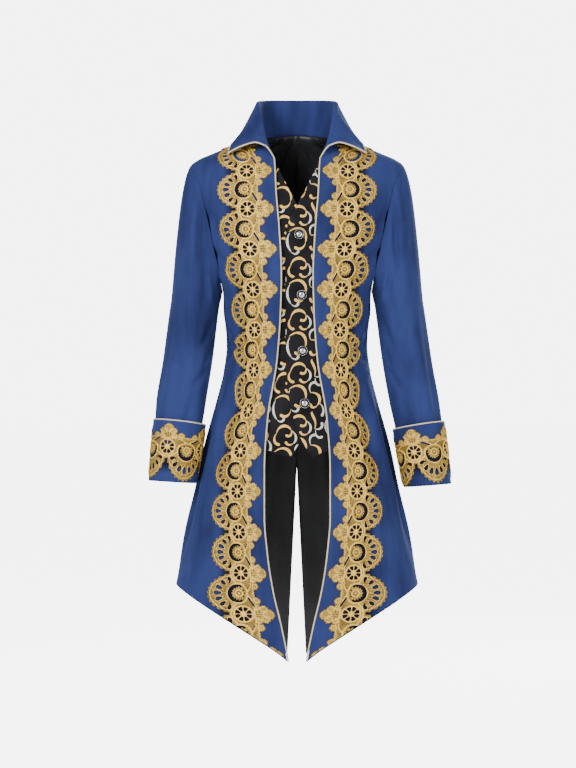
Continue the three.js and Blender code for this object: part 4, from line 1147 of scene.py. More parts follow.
# %% The laying tree
def laying_tree():
    tree = bpy.data.node_groups.new("lay along cloth", "GeometryNodeTree")
    face = tree.interface
    face.new_socket("Geometry", in_out="INPUT", socket_type="NodeSocketGeometry")
    for title, kind in (("Guide", "Object"), ("Rows", "Int"), ("Columns", "Int"), ("Row Pitch", "Float"),
                        ("Column Pitch", "Float"), ("Column Drop", "Float"), ("First Row", "Float"),
                        ("First Column", "Float"), ("Material", "Material")):
        face.new_socket(title, in_out="INPUT", socket_type="NodeSocket" + kind)
    face.new_socket("Geometry", in_out="OUTPUT", socket_type="NodeSocketGeometry")
    new = tree.nodes.new
    start, end = new("NodeGroupInput"), new("NodeGroupOutput")

    def calc(kind, operation, *inputs):
        made = new(kind)
        made.operation = operation
        for k, value in enumerate(inputs):
            if isinstance(value, (int, float)):
                made.inputs[k].default_value = value
            elif value is not None:
                tree.links.new(value, made.inputs[k])
        return made.outputs[0]

    number = new("GeometryNodeInputIndex").outputs[0]
    rows = start.outputs["Rows"]
    column = calc("ShaderNodeMath", "FLOOR", calc("ShaderNodeMath", "DIVIDE", number, rows))
    row = calc("ShaderNodeMath", "MODULO", number, rows)
    odd = calc("ShaderNodeMath", "MODULO", column, 2.0)
    drop = calc("ShaderNodeMath", "MULTIPLY", odd, start.outputs["Column Drop"])
    x = calc("ShaderNodeMath", "MULTIPLY_ADD", column, start.outputs["Column Pitch"], start.outputs["First Column"])
    y = calc("ShaderNodeMath", "MULTIPLY_ADD", row, start.outputs["Row Pitch"], start.outputs["First Row"])
    y = calc("ShaderNodeMath", "ADD", y, drop)
    place = new("ShaderNodeCombineXYZ")
    join(tree, [(x, place.inputs["X"]), (y, place.inputs["Y"])])
    count = calc("ShaderNodeMath", "MULTIPLY", rows, start.outputs["Columns"])
    dots = new("GeometryNodePoints")
    copies = new("GeometryNodeInstanceOnPoints")
    real = new("GeometryNodeRealizeInstances")
    joined = add(tree, "GeometryNodeMergeByDistance", {"Distance": 0.00002})
    position = new("GeometryNodeInputPosition").outputs[0]
    split = new("ShaderNodeSeparateXYZ")
    flat = new("ShaderNodeCombineXYZ")
    guide = new("GeometryNodeObjectInfo")
    uv = add(tree, "GeometryNodeInputNamedAttribute", {"Name": "cloth"}, data_type="FLOAT_VECTOR")
    samples = {}
    for title, field in (("place", position), ("normal", new("GeometryNodeInputNormal").outputs[0])):
        sample = add(tree, "GeometryNodeSampleUVSurface", data_type="FLOAT_VECTOR")
        join(tree, [
            (guide.outputs["Geometry"], sample.inputs["Mesh"]),
            (field, sample.inputs["Value"]),
            (uv.outputs["Attribute"], sample.inputs["Source UV Map"]),
            (flat.outputs[0], sample.inputs["Sample UV"]),
        ])
        samples[title] = sample
    outside = add(tree, "FunctionNodeBooleanMath", operation="NOT")
    scaled = add(tree, "ShaderNodeVectorMath", operation="SCALE")
    total = add(tree, "ShaderNodeVectorMath", operation="ADD")
    laid = new("GeometryNodeSetPosition")
    trimmed = add(tree, "GeometryNodeDeleteGeometry", domain="POINT")
    marked = add(tree, "GeometryNodeStoreNamedAttribute", {"Name": "outside"}, data_type="BOOLEAN")
    whole = new("GeometryNodeRealizeInstances")
    finish = new("GeometryNodeSetMaterial")
    truth = add(tree, "GeometryNodeInputNamedAttribute", {"Name": "outside"}, data_type="BOOLEAN")
    join(tree, [
        (count, dots.inputs["Count"]),
        (place.outputs[0], dots.inputs["Position"]),
        (dots.outputs[0], copies.inputs["Points"]),
        (start.outputs["Geometry"], copies.inputs["Instance"]),
        (copies.outputs[0], real.inputs[0]),
        (real.outputs[0], joined.inputs["Geometry"]),
        (start.outputs["Guide"], guide.inputs["Object"]),
        (position, split.inputs[0]),
        (split.outputs["X"], flat.inputs["X"]),
        (split.outputs["Y"], flat.inputs["Y"]),
        (samples["place"].outputs["Is Valid"], outside.inputs[0]),
        (joined.outputs[0], marked.inputs["Geometry"]),
        (outside.outputs[0], marked.inputs["Value"]),
        (samples["normal"].outputs["Value"], scaled.inputs[0]),
        (split.outputs["Z"], scaled.inputs["Scale"]),
        (samples["place"].outputs["Value"], total.inputs[0]),
        (scaled.outputs[0], total.inputs[1]),
        (marked.outputs[0], laid.inputs["Geometry"]),
        (total.outputs[0], laid.inputs["Position"]),
        (laid.outputs[0], trimmed.inputs["Geometry"]),
        (truth.outputs["Attribute"], trimmed.inputs["Selection"]),
        (trimmed.outputs[0], whole.inputs[0]),
        (whole.outputs[0], finish.inputs["Geometry"]),
        (start.outputs["Material"], finish.inputs["Material"]),
        (finish.outputs[0], end.inputs[0]),
    ])
    return tree


LAYING = laying_tree()


def run_tree(obj, tree, **inputs):
    """Gives an object a tree's modifier, takes the result as a plain mesh and removes the modifier."""
    modifier = obj.modifiers.new(tree.name, "NODES")
    modifier.node_group = tree
    sockets = {item.name: item.identifier for item in tree.interface.items_tree
               if item.item_type == "SOCKET" and item.in_out == "INPUT"}
    for key, value in inputs.items():
        modifier[sockets[key.replace("_", " ")]] = value
    bpy.context.view_layer.update()
    ready = obj.evaluated_get(bpy.context.evaluated_depsgraph_get())
    mesh = bpy.data.meshes.new_from_object(ready)
    obj.modifiers.remove(modifier)
    old, obj.data = obj.data, mesh
    bpy.data.meshes.remove(old)
    mesh.name = obj.name
    return obj


def mesh_arrays(obj):
    mesh = obj.data
    points = np.empty(len(mesh.vertices) * 3)
    mesh.vertices.foreach_get("co", points)
    mesh.calc_loop_triangles()
    triangles = np.empty(len(mesh.loop_triangles) * 3, int)
    mesh.loop_triangles.foreach_get("vertices", triangles)
    return points.reshape(-1, 3) / MM, triangles.reshape(-1, 3)


def guide_grid(name, points, uv, side):
    """A guide cloth that shows in no render: rows and columns of points with flat coordinates in metres."""
    rows, cols = points.shape[:2]
    index = np.arange(rows * cols).reshape(rows, cols)
    quads = np.stack([index[:-1, :-1], index[:-1, 1:], index[1:, 1:], index[1:, :-1]], -1).reshape(-1, 4)
    quads = quads[:, ::-1] if side > 0 else quads
    return to_object(name, points.reshape(-1, 3), quads, uv.reshape(-1, 2) * MM)


def drop_object(obj):
    mesh = obj.data
    bpy.data.objects.remove(obj)
    bpy.data.meshes.remove(mesh)


def from_arrays(name, points, triangles, relief, material, facing):
    """A laid pattern as an object, with its faces turned to the outside."""
    a, b, c = (points[triangles[:, k]] for k in range(3))
    middle = (a + b + c) / 3
    if np.sum(np.cross(b - a, c - a) * facing(middle)) < 0:
        triangles = triangles[:, ::-1]
    made = to_object(name, points, triangles, None, (material,))
    layer = made.data.attributes.new("relief", "FLOAT", "POINT")
    layer.data.foreach_set("value", relief.astype(np.float32))
    made.data.set_sharp_from_angle(angle=math.radians(55))
    return made


# %% The lace down the fronts
LACE_OUTER = columns("z x", [
    (-1060, 192), (-1033, 190), (-900, 180), (-812, 170), (-726, 171), (-648, 165), (-566, 146), (-497, 128),
    (-406, 129), (-329, 133), (-252, 146), (-174, 160), (-60, 162), (20, 162),
])
LACE_EDGE_MARGIN = 3
LACE_OVER_CLOTH = 0.55
LACE_TOP_Z = 4
SLOPE_Z = -94  # above here the cloth slopes back over the shoulder, and lengths are taken along it


def front_guide(name, side):
    z = np.concatenate([np.linspace(12, SLOPE_Z, 60)[:-1], np.linspace(SLOPE_Z, -1050, 420)])
    share = np.linspace(-0.04, 1.06, 34)
    inner = turn_at(lookup(FRONT_EDGE, "x", z) + LACE_EDGE_MARGIN, z)
    outer = np.minimum(turn_at(lookup(LACE_OUTER, "x", z), z), QUARTER + 0.02)
    turn = inner[:, None] + (outer - inner)[:, None] * share[None]
    points = torso(turn * side, z[:, None], LACE_OVER_CLOTH)
    along = np.cumsum(np.linalg.norm(np.diff(points, axis=0, prepend=points[:1]), axis=-1), axis=0)
    knee = np.argmin(np.abs(z - SLOPE_Z))
    bent = (along - along[knee]) * (1 + 0.12 * share[None])
    straight = (SLOPE_Z - z)[:, None] + 0 * share[None]
    v = np.where(z[:, None] > SLOPE_Z, bent, straight) + (FIRST_ROSETTE_Z - SLOPE_Z)
    uv = np.stack([share[None] * LACE_WIDTH + 0 * v, v], -1)
    return guide_grid(name, points, uv, side)


def hem_height(x, z):
    """The hem's height below a point of the front."""
    turn = np.abs(turn_at(np.abs(x), z))
    first = np.sin(turn_at(TIP_HALF_GAP, TIP_Z))
    drop = np.clip((np.sin(turn) - first) / (1 - first), 0, 1) ** HEM_BOW
    return mix(TIP_Z, SIDE_HEM_Z, drop)


for name, side in (("left", 1), ("right", -1)):
    guide = front_guide(f"guide_{name}", side)
    strip = lace_unit(f"front_lace_{name}_thread")
    run_tree(strip, LAYING, Guide=guide, Rows=15, Columns=1, Row_Pitch=PITCH * MM, Column_Pitch=0.0,
             Column_Drop=0.0, First_Row=-2 * PITCH * MM, First_Column=0.0, Material=lace)
    points, triangles = mesh_arrays(strip)
    relief = np.empty(len(points))
    strip.data.attributes["relief"].data.foreach_get("value", relief)
    value = points[:, 2] - hem_height(points[:, 0], points[:, 2]) - 2.5
    high = points[:, 2] > -70
    value = np.where(high, np.minimum(value, -points[:, 1] - 3), value)
    value = np.minimum(value, LACE_TOP_Z - points[:, 2])
    points, triangles, relief = cut(points, triangles, value, relief)
    title = strip.name
    drop_object(strip)
    drop_object(guide)
    strip = from_arrays(title, points, triangles, relief, lace, lambda p: p * np.array([0.3, 1, 0]))
    below = PIECES[f"front_{name}"]["obj"]
    x, z = np.abs([v.co.x for v in below.data.vertices]) / MM, np.array([v.co.z for v in below.data.vertices]) / MM
    inner = turn_at(lookup(FRONT_EDGE, "x", z) + LACE_EDGE_MARGIN, z)
    outer = turn_at(lookup(LACE_OUTER, "x", z), z)
    # the front's velvet under the lace is marked for a painted shadow
    lay_shade(below, np.where(z > SLOPE_Z + 60, 0, (turn_at(x, z) - inner) / (outer - inner)))
    keep(strip, f"front_lace_{name}", "lace", flat=(0.115, 1.07), area=0.067, held="laid")

# %% The lace round the cuffs
CUFF_REPEATS = 4
CUFF_LACE_UP = 114
CUFF_LACE_TURN = {"left": 112, "right": 162}  # degrees from the outside to the rosette in front


def cuff_guide(name, arm, side, degrees):
    u = np.linspace(-4, LACE_WIDTH + 4, 40)
    v = np.linspace(0, PITCH * CUFF_REPEATS, 200)
    up = CUFF_LACE_UP - u * (CUFF_LACE_UP - 1.5) / LACE_WIDTH
    around = math.radians(degrees) + v / (PITCH * CUFF_REPEATS) * 2 * math.pi
    points = cuff_point(arm, up[None], around[:, None], side, 0.45)
    return guide_grid(name, points, np.stack(np.meshgrid(u, v), -1), side)


for name, side in (("left", 1), ("right", -1)):
    arm = ARMS[name]
    guide = cuff_guide(f"cuff_guide_{name}", arm, side, CUFF_LACE_TURN[name])
    band = lace_unit(f"cuff_lace_{name}_thread")
    run_tree(band, LAYING, Guide=guide, Rows=CUFF_REPEATS, Columns=1, Row_Pitch=PITCH * MM, Column_Pitch=0.0,
             Column_Drop=0.0, First_Row=0.0, First_Column=0.0, Material=lace)
    points, triangles = mesh_arrays(band)
    relief = np.empty(len(points))
    band.data.attributes["relief"].data.foreach_get("value", relief)
    value = np.minimum(points[:, 2] - arm["z"][0] - 0.5, 1)
    centre = points.mean(axis=0)
    title = band.name
    drop_object(band)
    drop_object(guide)
    band = from_arrays(title, points, triangles, relief, lace, lambda p: (p - centre) * np.array([1, 1, 0]))
    below = PIECES[f"cuff_{name}"]["obj"]
    z = np.array([v.co.z for v in below.data.vertices]) / MM
    # the cuff's velvet under the lace is marked for a painted shadow
    lay_shade(below, 1 - (z - arm["z"][0]) / CUFF_LACE_UP)
    keep(band, f"cuff_lace_{name}", "lace", flat=(0.115, 0.323), area=0.0215, held="laid")

# %% [markdown]
# ## The waistcoat front
# The waistcoat is only a front, sewn in under the coat's edges. It is a black brocade with tapering C and S scrolls
# woven in gold and silver. The ground is a thin wall like the other panels. Each scroll is a narrow low ribbon that
# stands a little proud of the ground, as the floating threads of a brocade do, in a common half-drop repeat.

# %% The waistcoat's ground
WAISTCOAT = {
    "left": columns("z x side", [
        (-40, 42, -40), (-80, 22, -80), (-122, 1, -122), (-164, -19, -164), (-210, -24, -210), (-270, -24, -270),
        (-330, -24, -330), (-390, -24, -390), (-450, -23, -450), (-510, -17, -510), (-560, -6, -560),
        (-604, 12, -590), (-629, 31, -608),
    ]),
    "right": columns("z x side", [
        (-40, 42, -40), (-80, 22, -80), (-122, 1, -122), (-158, -17, -158), (-210, -21, -210), (-270, -21, -270),
        (-330, -21, -330), (-390, -21, -390), (-450, -20, -450), (-510, -19, -510), (-560, -14, -560),
        (-604, -3, -590), (-629, 13, -610),
    ]),
}
WAISTCOAT_DEPTH = {"left": 5, "right": 8}
WAISTCOAT_TUCK = 22
BUTTON_PLACES = [(4, -184), (9, -306), (11, -417), (15, -522)]


def waistcoat_fold(x, z, side):
    """A little pull round each button and soft slack between them."""
    total = 0.35 * np.sin(z / 31 + x / 19) + 0.25 * np.sin(z / 13 - x / 23)
    for bx, bz in BUTTON_PLACES:
        away = np.hypot((x - bx) / 1.6, z - bz)
        total = total - 0.8 * np.exp(-((away / 14) ** 2)) * (side > 0)
        total = total + 0.5 * np.exp(-(((z - bz + 5) / 5) ** 2)) * np.exp(-(((np.abs(x - bx) - 22) / 14) ** 2))
    return np.clip(total, -0.9, 0.7)


def on_waistcoat(x, z, side, out):
    """x is towards the panel's own side, out from the panel's face."""
    depth = WAISTCOAT_DEPTH["left" if side > 0 else "right"]
    turn = turn_at(x, z) * side
    lift = out - depth + waistcoat_fold(x * side, z, side)
    return on_form(turn, z) + outward(turn, z) * lift[..., None]


def waistcoat_places(name, rows, cols):
    table = WAISTCOAT[name]
    z = np.linspace(table["z"][-1], table["z"][0], rows)
    edge, end_z = lookup(table, "x", z), lookup(table, "side", z)
    end = lookup(FRONT_EDGE, "x", end_z) + WAISTCOAT_TUCK
    share = np.linspace(0, 1, cols)[None]
    return mix(edge[:, None], end[:, None], share), mix(z[:, None], end_z[:, None], share)


for name, side in (("left", 1), ("right", -1)):
    x, z = waistcoat_places(name, 180, 30)
    face = on_waistcoat(x, z, side, 0 * x)
    back = on_waistcoat(x, z, side, 0 * x - BROCADE_WALL)
    panel_made = shell(f"waistcoat_{name}_cloth", face, back, np.stack([x * side, z], -1) * MM, (brocade, satin))
    keep(panel_made, f"waistcoat_{name}", "brocade", flat=(0.095, 0.616), area=0.046)

# %% The scrolls of the brocade
# Each scroll: which thread, the start, two guiding points and the end of its curve, and its widths at the start,
# in the middle and at the end, all in millimetres on a chart of 96 across and 128 along. SCROLL_SCALE gives the
# size at which the chart is laid, and SCROLL_WEIGHT thickens every scroll.
SCROLLS = [
    ("gold", (8, 8), (34, -14), (58, 8), (48, 36), 2.0, 6.2, 1.6),
    ("gold", (48, 36), (44, 52), (28, 54), (22, 44), 1.6, 5.4, 7.2),
    ("silver", (10, 10), (0, 26), (2, 44), (14, 58), 1.4, 5.2, 1.8),
    ("silver", (14, 58), (22, 66), (32, 62), (31, 53), 1.6, 4.0, 6.0),
    ("gold", (62, 16), (84, 14), (92, 34), (78, 48), 2.0, 6.0, 2.0),
    ("gold", (78, 48), (70, 56), (60, 52), (62, 42), 2.0, 4.6, 6.8),
    ("silver", (62, 16), (54, -2), (66, -12), (76, -8), 1.6, 4.2, 6.0),
    ("silver", (84, 42), (96, 50), (98, 66), (88, 74), 1.4, 4.8, 6.2),
    ("gold", (12, 92), (16, 70), (42, 66), (50, 84), 1.8, 6.0, 2.2),
    ("gold", (50, 84), (54, 96), (42, 102), (36, 94), 2.2, 4.6, 6.8),
    ("silver", (50, 84), (64, 92), (66, 108), (54, 116), 1.4, 4.8, 2.0),
    ("gold", (54, 116), (46, 122), (36, 118), (36, 110), 2.0, 4.4, 6.2),
    ("gold", (72, 104), (80, 82), (60, 70), (66, 62), 1.8, 5.4, 2.0),
    ("silver", (72, 104), (86, 110), (96, 96), (88, 88), 1.8, 4.6, 6.4),
    ("gold", (12, 92), (2, 104), (8, 120), (22, 118), 1.8, 5.0, 6.6),
    ("silver", (74, 108), (72, 124), (84, 130), (92, 122), 1.4, 4.4, 5.8),
]
SCROLL_COLUMN, SCROLL_ROW = 96, 128
SCROLL_STEPS = 15
SCROLL_WEIGHT = 1.15
SCROLL_SCALE = 0.82


def scroll_ribbon(path, widths):
    """A tapered low ribbon along a curve, with a round end, five points across."""
    t = np.linspace(0, 1, SCROLL_STEPS)[:, None]
    a, b, c, d = (np.array(p, float) for p in path)
    line = a * (1 - t) ** 3 + 3 * b * t * (1 - t) ** 2 + 3 * c * t**2 * (1 - t) + d * t**3
    along = unit(np.gradient(line, axis=0))
    beside = np.stack([-along[:, 1], along[:, 0]], -1)
    first, middle, last = (width * SCROLL_WEIGHT for width in widths)
    t = t[:, 0]
    wide = np.where(t < 0.55, mix(first, middle, np.sin(np.clip(t / 0.55, 0, 1) * QUARTER) ** 2),
                    mix(middle, last, np.clip((t - 0.55) / 0.45, 0, 1) ** 1.5))
    wide = wide * np.sqrt(np.clip((1 - t) / 0.09, 0, 1)) * np.sqrt(np.clip((t + 0.01) / 0.05, 0, 1)) + 0.2
    share = np.array([-1, -0.75, 0, 0.75, 1.0])
    height = np.array([0, 0.75, 1, 0.75, 0])
    flat = line[:, None] + beside[:, None] * (share[None, :, None] * wide[:, None, None] / 2)
    rise = height[None] * np.minimum(0.55 + 0 * wide, wide * 0.25)[:, None]
    return np.concatenate([flat * SCROLL_SCALE, rise[..., None]], -1)


def scroll_unit(name, thread):
    points, faces = [], []
    for kind, *path, first, middle, last in SCROLLS:
        if kind != thread:
            continue
        ribbon = scroll_ribbon(path, (first, middle, last))
        index = np.arange(ribbon.shape[0] * 5).reshape(-1, 5) + len(points)
        points.extend(ribbon.reshape(-1, 3).tolist())
        faces.extend(np.stack([index[:-1, :-1], index[:-1, 1:], index[1:, 1:], index[1:, :-1]], -1)
                     .reshape(-1, 4).tolist())
    return to_object(name, np.array(points), faces)


def waistcoat_guide(name, side):
    x = np.linspace(-60, 100, 54)
    z = np.linspace(-26, -640, 200)
    flat_x, flat_z = np.meshgrid(x, z)
    points = on_waistcoat(flat_x, flat_z, side, 0 * flat_x + 0.12)
    return guide_grid(f"waistcoat_guide_{name}", points, np.stack([flat_x * side, -flat_z], -1), side)


def inside_waistcoat(name, side, points):
    """Above 0 within the panel's outline, with a small margin."""
    table = WAISTCOAT[name]
    x, z = points[:, 0] * side, points[:, 2]
    lowest_edge, lowest_side = table["z"][0], table["side"][0]
    front = x - lookup(table, "x", z) - 1.0
    end = lookup(FRONT_EDGE, "x", lowest_side) + WAISTCOAT_TUCK
    start = lookup(table, "x", lowest_edge)
    bottom = z - mix(lowest_edge, lowest_side, np.clip((x - start) / (end - start), 0, 1)) - 1.5
    behind = lookup(FRONT_EDGE, "x", z) + WAISTCOAT_TUCK - 1 - x
    return np.minimum(np.minimum(front, bottom), np.minimum(behind, -41 - z))


SCROLL_THREADS = {"gold": gold_weave, "silver": silver_weave}
scroll_pieces = {}
for name, side in (("left", 1), ("right", -1)):
    for thread, weave in SCROLL_THREADS.items():
        guide = waistcoat_guide(name, side)
        pattern = scroll_unit(f"waistcoat_{name}_{thread}", thread)
        run_tree(pattern, LAYING, Guide=guide, Rows=8, Columns=4, Row_Pitch=SCROLL_ROW * SCROLL_SCALE * MM,
                 Column_Pitch=SCROLL_COLUMN * SCROLL_SCALE * MM, Column_Drop=SCROLL_ROW * SCROLL_SCALE / 2 * MM,
                 First_Row=(-70 - (20 if side > 0 else 0)) * MM,
                 First_Column=(-132 + (30 if side > 0 else 0)) * MM, Material=weave)
        points, triangles = mesh_arrays(pattern)
        value = inside_waistcoat(name, side, points)
        points, triangles, zero = cut(points, triangles, value, np.zeros(len(points)))
        title = pattern.name
        drop_object(pattern)
        drop_object(guide)
        pattern = from_arrays(title, points, triangles, zero, weave, lambda p: np.array([0, -1.0, 0]) + 0 * p)
        scroll_pieces[title] = pattern
        print(title, len(triangles), "triangles")

# %% [markdown]
# ## Piping
# Piping is a cord covered in a strip of cream satin and caught in the seam, so it runs on the very edge of the
# cloth. The node tree turns a line of points into a round cord with the faint slant of its wrapping.

# %% The piping tree
PIPING_RADIUS = 1.5


def piping_tree():
    tree = bpy.data.node_groups.new("piping", "GeometryNodeTree")
    face = tree.interface
    face.new_socket("Geometry", in_out="INPUT", socket_type="NodeSocketGeometry")
    for title, kind in (("Radius", "Float"), ("Twist Length", "Float"), ("Lobes", "Int"), ("Lobe Depth", "Float"),
                        ("Step", "Float"), ("Material", "Material")):
        face.new_socket(title, in_out="INPUT", socket_type="NodeSocket" + kind)
    face.new_socket("Geometry", in_out="OUTPUT", socket_type="NodeSocketGeometry")
    new = tree.nodes.new
    start, end = new("NodeGroupInput"), new("NodeGroupOutput")
    line = new("GeometryNodeMeshToCurve")
    even = add(tree, "GeometryNodeResampleCurve", mode="LENGTH")
    measure = new("GeometryNodeSplineParameter")
    turns = add(tree, "ShaderNodeMath", operation="DIVIDE")
    angle = add(tree, "ShaderNodeMath", {1: 2 * math.pi}, operation="MULTIPLY")
    tilt = new("GeometryNodeSetCurveTilt")
    profile = add(tree, "GeometryNodeCurvePrimitiveCircle", {"Resolution": 12})
    place = new("GeometryNodeInputPosition")
    index = new("GeometryNodeInputIndex")
    wave = add(tree, "ShaderNodeMath", operation="MULTIPLY")
    share = add(tree, "ShaderNodeMath", {1: 2 * math.pi / 12}, operation="MULTIPLY")
    cosine = add(tree, "ShaderNodeMath", operation="COSINE")
    depth = add(tree, "ShaderNodeMath", {2: 1.0}, operation="MULTIPLY_ADD")
    scale = add(tree, "ShaderNodeVectorMath", operation="SCALE")
    lobed = new("GeometryNodeSetPosition")
    tube = add(tree, "GeometryNodeCurveToMesh", {"Fill Caps": True})
    smooth = new("GeometryNodeSetShadeSmooth")
    real = new("GeometryNodeRealizeInstances")
    finish = new("GeometryNodeSetMaterial")
    join(tree, [
        (start.outputs["Geometry"], line.inputs["Mesh"]),
        (line.outputs["Curve"], even.inputs["Curve"]),
        (start.outputs["Step"], even.inputs["Length"]),
        (measure.outputs["Length"], turns.inputs[0]),
        (start.outputs["Twist Length"], turns.inputs[1]),
        (turns.outputs[0], angle.inputs[0]),
        (even.outputs["Curve"], tilt.inputs["Curve"]),
        (angle.outputs[0], tilt.inputs["Tilt"]),
        (start.outputs["Radius"], profile.inputs["Radius"]),
        (index.outputs[0], share.inputs[0]),
        (share.outputs[0], wave.inputs[0]),
        (start.outputs["Lobes"], wave.inputs[1]),
        (wave.outputs[0], cosine.inputs[0]),
        (cosine.outputs[0], depth.inputs[0]),
        (start.outputs["Lobe Depth"], depth.inputs[1]),
        (place.outputs[0], scale.inputs[0]),
        (depth.outputs[0], scale.inputs["Scale"]),
        (profile.outputs["Curve"], lobed.inputs["Geometry"]),
        (scale.outputs[0], lobed.inputs["Position"]),
        (tilt.outputs["Curve"], tube.inputs["Curve"]),
        (lobed.outputs["Geometry"], tube.inputs["Profile Curve"]),
        (tube.outputs["Mesh"], smooth.inputs["Geometry"]),
        (smooth.outputs["Geometry"], real.inputs[0]),
        (real.outputs[0], finish.inputs["Geometry"]),
        (start.outputs["Material"], finish.inputs["Material"]),
        (finish.outputs[0], end.inputs[0]),
    ])
    return tree


PIPING = piping_tree()


def piping(title, node_name, path, closed=False):
    count = len(path)
    mesh = bpy.data.meshes.new(title)
    edges = [(k, (k + 1) % count) for k in range(count if closed else count - 1)]
    mesh.from_pydata((np.asarray(path) * MM).tolist(), edges, [])
    made = bpy.data.objects.new(title, mesh)
    bpy.context.scene.collection.objects.link(made)
    run_tree(made, PIPING, Radius=PIPING_RADIUS * MM, Twist_Length=0.011, Lobes=3, Lobe_Depth=0.1,
             Step=0.0011, Material=cream_cord)
    tidy(made, 0.001)
    return keep(made, node_name, "piping")


# %% The piping's paths
def collar_edge(seam, side):
    profile = collar_profile(seam, side)
    return profile[-1] + unit(profile[-1] - profile[-2]) * (PIPING_RADIUS + 0.8)


for name, side in (("left", 1), ("right", -1)):
    z = np.linspace(BREAK_Z, TIP_Z, 260)
    edge_turn = turn_at(lookup(FRONT_EDGE, "x", z), z)
    edge = torso(edge_turn * side, z, -VELVET_WALL / 2)
    beside = torso((edge_turn + 0.03) * side, z, -VELVET_WALL / 2)
    path = edge - unit(beside - edge) * (PIPING_RADIUS + 0.8)
    corner = collar_edge(stations[-1], side)
    t = np.linspace(0, 1, 24)[:-1, None]
    turn_over = np.array([side * 57, -89, -9])
    joining = corner * (1 - t) ** 2 + turn_over * 2 * t * (1 - t) + path[0] * t**2
    piping(f"front_piping_{name}_cord", f"front_piping_{name}", np.concatenate([joining[1:], path]))

    arm = ARMS[name]
    around = np.arange(120) * 2 * math.pi / 120
    ring = cuff_point(arm, CUFF_HEIGHT + 0.3 + PIPING_RADIUS, around, side, -CUFF_WALL / 2)
    piping(f"cuff_piping_{name}_cord", f"cuff_piping_{name}", ring, closed=True)

piping("collar_piping_cord", "collar_piping", np.array(
    [collar_edge(s, -1) for s in stations[::-1]] + [collar_edge(s, 1) for s in stations[1:]]))

# %% [markdown]
# ## Buttons
# Four black buttons close the waistcoat. Each is a turned disc with a ring of bright beads let into its rim and a
# cut bright stone in its middle. The beads are copied round a circle by a small node tree.

# %% The buttons
BUTTON_RADIUS, BUTTON_HEIGHT = 11, 3.4
BEAD_COUNT = 24


def lathe(profile, around):
    """A turned mesh about the Z axis from (radius, height) pairs that start and end on the axis."""
    points, faces = [], []
    rings = []
    for r, h in profile:
        if r == 0:
            rings.append([len(points)])
            points.append((0, 0, h))
            continue
        rings.append(list(range(len(points), len(points) + around)))
        points.extend((r * math.cos(2 * math.pi * k / around), r * math.sin(2 * math.pi * k / around), h)
                      for k in range(around))
    for low, high in zip(rings, rings[1:]):
        for k in range(around):
            n = (k + 1) % around
            corners = [low[k % len(low)], low[n % len(low)], high[n % len(high)], high[k % len(high)]]
            faces.append(list(dict.fromkeys(corners)))
    return np.array(points, float), faces


def bead_tree():
    tree = bpy.data.node_groups.new("beads round a rim", "GeometryNodeTree")
    face = tree.interface
    face.new_socket("Geometry", in_out="INPUT", socket_type="NodeSocketGeometry")
    for title, kind in (("Count", "Int"), ("Ring Radius", "Float"), ("Bead Radius", "Float"), ("Height", "Float"),
                        ("Material", "Material")):
        face.new_socket(title, in_out="INPUT", socket_type="NodeSocket" + kind)
    face.new_socket("Geometry", in_out="OUTPUT", socket_type="NodeSocketGeometry")
    new = tree.nodes.new
    start, end = new("NodeGroupInput"), new("NodeGroupOutput")
    ring = new("GeometryNodeMeshCircle")
    raised = new("ShaderNodeCombineXYZ")
    moved = new("GeometryNodeSetPosition")
    bead = add(tree, "GeometryNodeMeshIcoSphere", {"Subdivisions": 1})
    smooth = new("GeometryNodeSetShadeSmooth")
    copies = new("GeometryNodeInstanceOnPoints")
    real = new("GeometryNodeRealizeInstances")
    finish = new("GeometryNodeSetMaterial")
    join(tree, [
        (start.outputs["Count"], ring.inputs["Vertices"]),
        (start.outputs["Ring Radius"], ring.inputs["Radius"]),
        (start.outputs["Height"], raised.inputs["Z"]),
        (ring.outputs[0], moved.inputs["Geometry"]),
        (raised.outputs[0], moved.inputs["Offset"]),
        (start.outputs["Bead Radius"], bead.inputs["Radius"]),
        (bead.outputs[0], smooth.inputs["Geometry"]),
        (moved.outputs[0], copies.inputs["Points"]),
        (smooth.outputs[0], copies.inputs["Instance"]),
        (copies.outputs[0], real.inputs[0]),
        (real.outputs[0], finish.inputs["Geometry"]),
        (start.outputs["Material"], finish.inputs["Material"]),
        (finish.outputs[0], end.inputs[0]),
    ])
    return tree


BEADS = bead_tree()


def waistcoat_button(number, x, z):
    r = BUTTON_RADIUS
    disc_points, disc_faces = lathe([
        (0, 0), (r * 0.88, 0), (r * 0.98, 0.5), (r, 1.2), (r * 0.97, 2.0), (r * 0.9, 2.5), (r * 0.8, 2.45),
        (r * 0.68, 1.9), (r * 0.62, 1.8), (0, 1.8)], 40)
    stone_points, stone_faces = lathe([
        (0, 1.7), (r * 0.56, 1.7), (r * 0.56, 2.1), (r * 0.46, 2.9), (r * 0.3, 3.5), (0, 3.7)], 8)
    points = np.concatenate([disc_points, stone_points])
    faces = disc_faces + [[v + len(disc_points) for v in face] for face in stone_faces]
    made = to_object(f"button_{number}_turned", points, faces, None, (black_gloss, bright),
                     [0] * len(disc_faces) + [1] * len(stone_faces), smooth=False)
    made.data.polygons.foreach_set(
        "use_smooth", np.array([True] * len(disc_faces) + [False] * len(stone_faces)))
    tidy(made, 0.0005)
    beads = to_object(f"button_{number}_beads", np.zeros((1, 3)), [])
    run_tree(beads, BEADS, Count=BEAD_COUNT, Ring_Radius=r * 0.84 * MM, Bead_Radius=0.85 * MM, Height=2.6 * MM,
             Material=bright)
    work = bmesh.new()
    work.from_mesh(beads.data)
    for face in work.faces:
        face.material_index = 1
    work.from_mesh(made.data)
    work.to_mesh(made.data)
    work.free()
    drop_object(beads)
    turn = turn_at(x, z)
    away = Vector(outward(turn, z).tolist())
    seat = Vector((on_form(turn, z) + outward(turn, z) * (0.7 - WAISTCOAT_DEPTH["left"])).tolist())
    lean = Vector((0, 0, 1)).rotation_difference(away).to_matrix().to_4x4()
    lean.translation = seat * MM
    made.data.transform(lean)
    return keep(made, f"button_{number}", "button")


